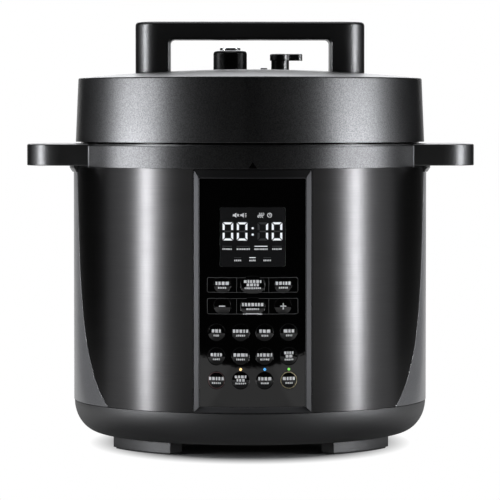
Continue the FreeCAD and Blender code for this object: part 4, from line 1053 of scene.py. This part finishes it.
class LidAndPot(SubAssembly):
    """Lid with its seal, handle and valves, and the pot."""

    FINISHES = {
        Finish.LID: ("lid_cover",),
        Finish.STEEL: ("inner_pot", "seal_rack", "lid_screws", "vent_pipe", "block_shield", "float_valve"),
        Finish.LID_STEEL: ("pressure_lid",),
        Finish.SILICONE: ("sealing_ring",),
        Finish.BLACK: ("lid_handle", "release_lever"),
        Finish.VALVE: ("steam_valve",),
        Finish.POLISHED: ("valve_disc",),
    }


@dataclass
class ControlPanel(SubAssembly):
    """Bezel, fascia, keys and display, with the prints on them."""

    box_half_width: float = 32.7 * MM
    box_divider: float = 11.6 * MM
    box_heights: tuple[tuple[str, float], ...] = (
        ("top_key_middle", 10.6 * MM), ("lower_key_middle", 11.2 * MM))
    box_corner: float = 1.3 * MM
    line: float = 0.32 * MM
    bar_length: float = 13.9 * MM
    bar_on_key: float = 9.8 * MM
    bar_drop: float = 5.4 * MM
    sign_size: float = 4.4 * MM
    sign_line: float = 0.75 * MM
    key_radius: float = 6.1 * MM
    oval_half: float = 8.75 * MM
    ring_line: float = 0.42 * MM
    upper_keys: tuple[tuple[str, KeyMark, float], ...] = (
        ("top_key_left", KeyMark.CAPTION, 9.7 * MM),
        ("top_key_middle", KeyMark.TWO_LINES, 14.6 * MM),
        ("top_key_right", KeyMark.CAPTION, 11.2 * MM),
        ("lower_key_left", KeyMark.MINUS, 0.0),
        ("lower_key_middle", KeyMark.TIME, 15.2 * MM),
        ("lower_key_right", KeyMark.PLUS, 0.0),
    )
    program_widths: tuple[float, ...] = (
        6.6 * MM, 13.5 * MM, 7.9 * MM, 7.8 * MM, 8.2 * MM, 10.2 * MM, 11.8 * MM, 8.0 * MM)
    bottom_widths: tuple[float, ...] = (11.1 * MM, 9.6 * MM, 9.3 * MM, 9.0 * MM)
    display: DisplayPrint = field(default_factory=DisplayPrint)

    FINISHES = {
        Finish.BEZEL: ("control_bezel",),
        Finish.GLOSS: ("control_fascia", "display_module"),
        Finish.WINDOW: ("display_window",),
        Finish.LIGHTS: ("indicator_lights",),
        Finish.BOARD: ("control_board",),
        Finish.BLACK: ("tact_switches",),
    }
    OVAL_KEYS = ("top_key_middle", "lower_key_middle")
    TWO_LINE_KEYS = ("program_key_8", "bottom_key_2")
    RINGS = {"bottom_key_1": Finish.RING_RED, "bottom_key_4": Finish.RING_GOLD}
    # Rows of blocks on a key: rise from its middle, share of the caption's length, and height.
    ONE_LINE = ((1.25 * MM, 1.0, 2.3 * MM), (-2.0 * MM, 0.6, 1.25 * MM))
    TWO_LINES = ((2.6 * MM, 0.86, 1.955 * MM), (0.2 * MM, 0.6, 1.955 * MM), (-2.2 * MM, 0.8, 1.25 * MM))
    WIDEST_CAPTION = 1.78

    def draw(self, frame: dict, paint: Paint) -> None:
        """Dresses the panel and its keys and draws their prints.

        Args:
            frame: the loaded frame.
            paint: puts the finishes on.
        """
        super().draw(frame, paint)
        self._boxes(paint)
        for node, finish in self.RINGS.items():
            ink = Ink(self._key(node).face(frame).lay)
            ink.arc((0.0, 0.0), self.key_radius - self.ring_line / 2, self.ring_line)
            paint.on(ink.build(f"{node}_ring", node, "gloss_black"), finish)
        for seed, (node, mark, width) in enumerate(self._captions()):
            key = self._key(node)
            paint.on(frame["nodes"][node], Finish.KEYS)
            ink = Ink(key.face(frame).lay)
            self._mark(ink, mark, min(width, self.WIDEST_CAPTION * key.half_length), seed)
            paint.on(ink.build(f"{node}_print", node, "gloss_black"), Finish.PRINT)
        self.display.draw(paint)

    def _key(self, node: str) -> PanelKey:
        """The key of a node."""
        return PanelKey(node, self.oval_half if node in self.OVAL_KEYS else self.key_radius)

    def _captions(self) -> list[tuple[str, KeyMark, float]]:
        """Lists every key's node with its mark and the length of its caption.

        Returns:
            The keys, row by row from the top.
        """
        captions = list(self.upper_keys)
        for row, widths in (("program", self.program_widths), ("bottom", self.bottom_widths)):
            for number, width in enumerate(widths, 1):
                node = f"{row}_key_{number}"
                mark = KeyMark.TWO_LINES if node in self.TWO_LINE_KEYS else KeyMark.CAPTION
                captions.append((node, mark, width))
        return captions

    def _boxes(self, paint: Paint) -> None:
        """Draws the outlined boxes round the two upper rows of keys, and the bar under them.

        Args:
            paint: puts the finishes on.
        """
        fascia = Cylinder(-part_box("control_fascia")[0][1])
        boxes, bar = Ink(fascia.lay), Ink(fascia.lay)
        for node, height in self.box_heights:
            low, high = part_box(node)
            middle = (low[2] + high[2]) / 2
            foot, top = middle - height / 2, middle + height / 2
            boxes.frame((-self.box_half_width, foot), (self.box_half_width, top), self.line, self.box_corner)
            for x in (-self.box_divider, self.box_divider):
                boxes.stroke((x, foot), (x, top), self.line)
        bar.bar((0.0, foot), self.bar_length, 2 * self.line)
        paint.on(boxes.build("key_boxes", "cooker", "gloss_black"), Finish.PRINT_SOFT)
        paint.on(bar.build("box_bar", "cooker", "gloss_black"), Finish.PRINT)

    def _mark(self, ink: Ink, mark: KeyMark, width: float, seed: int) -> None:
        """Draws one key's mark.

        Args:
            ink: where it is drawn.
            mark: what the key carries.
            width: length of its caption.
            seed: shifts the pattern of the caption's blocks.
        """
        if mark in (KeyMark.MINUS, KeyMark.PLUS):
            ink.bar((0.0, 0.0), self.sign_size, self.sign_line)
            if mark is KeyMark.PLUS:
                ink.stroke((0.0, -self.sign_size / 2), (0.0, self.sign_size / 2), self.sign_line)
            return
        if mark is KeyMark.TIME:
            ink.bar((0.0, -self.bar_drop), self.bar_on_key, 2 * self.line)
        rows = self.TWO_LINES if mark is KeyMark.TWO_LINES else self.ONE_LINE
        for step, (rise, share, height) in enumerate(rows):
            ink.blocks((0.0, rise), width * share, height, seed + step)


class Reach(Enum):
    """What a studio light falls on, where flags keep it off the rest."""

    ALL = "ALL"
    LID_ONLY = "INCLUDE"
    NOT_LID = "EXCLUDE"


@dataclass
class SoftLight:
    """Rectangular soft light round or over the object, which faces the pot axis."""

    name: str
    azimuth: float
    distance: float
    height: float
    width: float
    length: float
    power: float
    reach: Reach = Reach.ALL

    COLOUR = (0.95, 0.965, 1.0)
    AIM_HEIGHT = 0.15
    LID_NODES = ("lid_cover", "collar_trim_front", "collar_trim_rear")

    def build(self) -> None:
        """Makes and places the light."""
        lamp = bpy.data.lights.new(self.name, "AREA")
        lamp.shape = "RECTANGLE"
        lamp.size = self.width
        lamp.size_y = self.length
        lamp.energy = self.power
        lamp.color = self.COLOUR
        thing = bpy.data.objects.new(self.name, lamp)
        turn = math.radians(self.azimuth)
        thing.location = (math.sin(turn) * self.distance, -math.cos(turn) * self.distance, self.height)
        aim = Vector((0.0, 0.0, self.AIM_HEIGHT)) - thing.location
        thing.rotation_euler = aim.to_track_quat("-Z", "Y").to_euler()
        bpy.context.scene.collection.objects.link(thing)
        if self.reach is not Reach.ALL:
            self._flag(thing)

    def _flag(self, thing: bpy.types.Object) -> None:
        """Keeps the light on the lid and collar trim alone, or off them.

        Args:
            thing: the light's object.
        """
        flagged = bpy.data.collections.new(self.name)
        for name in self.LID_NODES:
            flagged.objects.link(bpy.data.objects[name])
        thing.light_linking.receiver_collection = flagged
        for member in flagged.collection_objects:
            member.light_linking.link_state = self.reach.value


@dataclass
class Studio:
    """Camera, floor, backdrop and lights."""

    camera_place: tuple[float, float, float] = (-0.035, -2.3587, 0.2473)
    lens: float = 223.0
    sensor: float = 36.0
    clip_end: float = 20.0
    pitch: float = 2.4535
    floor_front: float = -0.95
    backdrop_y: float = 8.0
    backdrop_height: float = 7.0
    bend: float = 0.8
    bend_steps: int = 12
    front_half: float = 0.7
    waist_half: float = 0.26
    back_half: float = 3.2
    paper: Colour = grey(0.25)
    room: Colour = grey(0.012)
    # Where the shadow on the floor fades out, and where reflections of the sweep fade in, and how far.
    shadow_ends: Point = (0.12, 0.16)
    shadow_squeeze: float = 1.31
    behind_ends: Point = (0.1, 1.2)
    behind_glow: Point = (0.0, 0.6)
    before_ends: Point = (-0.55, -0.3)
    before_glow: Point = (0.6, 0.05)
    beside_ends: Point = (0.11, 0.24)
    beside_glow: Point = (0.0, 0.8)
    # Name, azimuth in degrees, distance, height, width, length, power in watts, reach.
    lights: tuple[SoftLight, ...] = (
        SoftLight("left_strip", -69.0, 1.6, 0.1, 0.14, 2.0, 43.5, Reach.NOT_LID),
        SoftLight("right_strip", 69.0, 1.6, 0.1, 0.14, 2.0, 43.5, Reach.NOT_LID),
        SoftLight("left_wing", -90.0, 1.6, 0.1, 0.7, 2.0, 2.8),
        SoftLight("right_wing", 90.0, 1.6, 0.1, 0.7, 2.0, 2.8),
        SoftLight("left_lid_soft", -77.0, 1.6, 0.14, 0.95, 0.28, 20.0, Reach.LID_ONLY),
        SoftLight("right_lid_soft", 70.0, 1.6, 0.14, 0.95, 0.28, 19.5, Reach.LID_ONLY),
        SoftLight("top_soft", 180.0, 0.4, 2.4, 2.0, 2.0, 16.0),
        SoftLight("back_soft", 180.0, 2.2, 1.7, 1.6, 1.6, 30.0),
    )

    def build(self) -> None:
        """Sets up everything round the object."""
        self._camera()
        self._sweep()
        self._world()
        for light in self.lights:
            light.build()
        bpy.context.scene.view_settings.view_transform = "Standard"

    def _camera(self) -> None:
        """Places the camera at the photograph's viewpoint, aimed at the pot axis."""
        data = bpy.data.cameras.new("camera")
        data.lens = self.lens
        data.sensor_width = self.sensor
        data.clip_end = self.clip_end
        camera = bpy.data.objects.new("camera", data)
        camera.location = self.camera_place
        yaw = math.atan2(-self.camera_place[0], -self.camera_place[1])
        camera.rotation_euler = (math.radians(90.0 - self.pitch), 0.0, -yaw)
        bpy.context.scene.collection.objects.link(camera)
        bpy.context.scene.camera = camera

    def _sweep(self) -> None:
        """Makes the floor and the backdrop as one white sweep."""
        bend_y = self.backdrop_y - self.bend
        profile = [(self.floor_front, 0.0), (0.0, 0.0), (bend_y, 0.0)]
        for number in range(1, self.bend_steps + 1):
            turn = math.radians(90.0 * number / self.bend_steps)
            profile.append((bend_y + self.bend * math.sin(turn), self.bend - self.bend * math.cos(turn)))
        profile.append((self.backdrop_y, self.backdrop_height))
        mesh = bmesh.new()
        rows = []
        for y, z in profile:
            half = self._half_width(y)
            rows.append([mesh.verts.new((x, y, z)) for x in (-half, half)])
        for near, far in zip(rows, rows[1:]):
            mesh.faces.new((near[0], near[1], far[1], far[0]))
        data = bpy.data.meshes.new("sweep")
        mesh.to_mesh(data)
        mesh.free()
        sweep = bpy.data.objects.new("sweep", data)
        bpy.context.scene.collection.objects.link(sweep)
        data.materials.append(self._paper())

    def _half_width(self, y: float) -> float:
        """Half the sweep's width at a depth, least at the pot axis, where the side lights reach past it."""
        end, half = (self.backdrop_y, self.back_half) if y > 0.0 else (self.floor_front, self.front_half)
        return self.waist_half + (half - self.waist_half) * y / end

    def _paper(self) -> Material:
        """Makes paper that is white to the camera except in the object's shadow, and pale in reflections.

        Returns:
            The new material.
        """
        graph = ShaderGraph("white_paper")
        east, north, _ = graph.axes(graph.place())
        shadow = graph.spread(graph.radius(east * self.shadow_squeeze, north), self.shadow_ends, (1.0, 0.0))
        behind = graph.spread(north, self.behind_ends, self.behind_glow)
        before = graph.spread(north, self.before_ends, self.before_glow)
        beside = graph.spread(abs(east), self.beside_ends, self.beside_glow)
        pale = graph.math("MAXIMUM", graph.math("MAXIMUM", behind, before), beside)
        mirrored = graph.ray("Is Glossy Ray") + graph.ray("Is Transmission Ray")
        factor = graph.ray("Is Camera Ray") * (1.0 - shadow) + mirrored * pale
        lit = graph.node("ShaderNodeBsdfDiffuse", inputs={"Color": self.paper})
        glow = graph.node("ShaderNodeEmission", inputs={"Color": WHITE, "Strength": 1.0})
        return graph.close(graph.node("ShaderNodeMixShader", inputs={0: factor, 1: lit, 2: glow}))

    def _world(self) -> None:
        """Makes a dim room that is white to the camera."""
        graph = ShaderGraph("room", world=True)
        dim = graph.node("ShaderNodeBackground", inputs={"Color": self.room})
        white = graph.node("ShaderNodeBackground", inputs={"Color": WHITE})
        camera = graph.ray("Is Camera Ray")
        mix = graph.node("ShaderNodeMixShader", inputs={0: camera, 1: dim, 2: white})
        bpy.context.scene.world = graph.close(mix)


def main() -> None:
    """Builds the looks in order."""
    logging.basicConfig(level=logging.INFO)
    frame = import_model()
    paint = Paint()
    for assembly in (Body(), Heater(), LidAndPot(), ControlPanel()):
        assembly.draw(frame, paint)
    Studio().build()


if __name__ == "__main__":
    main()
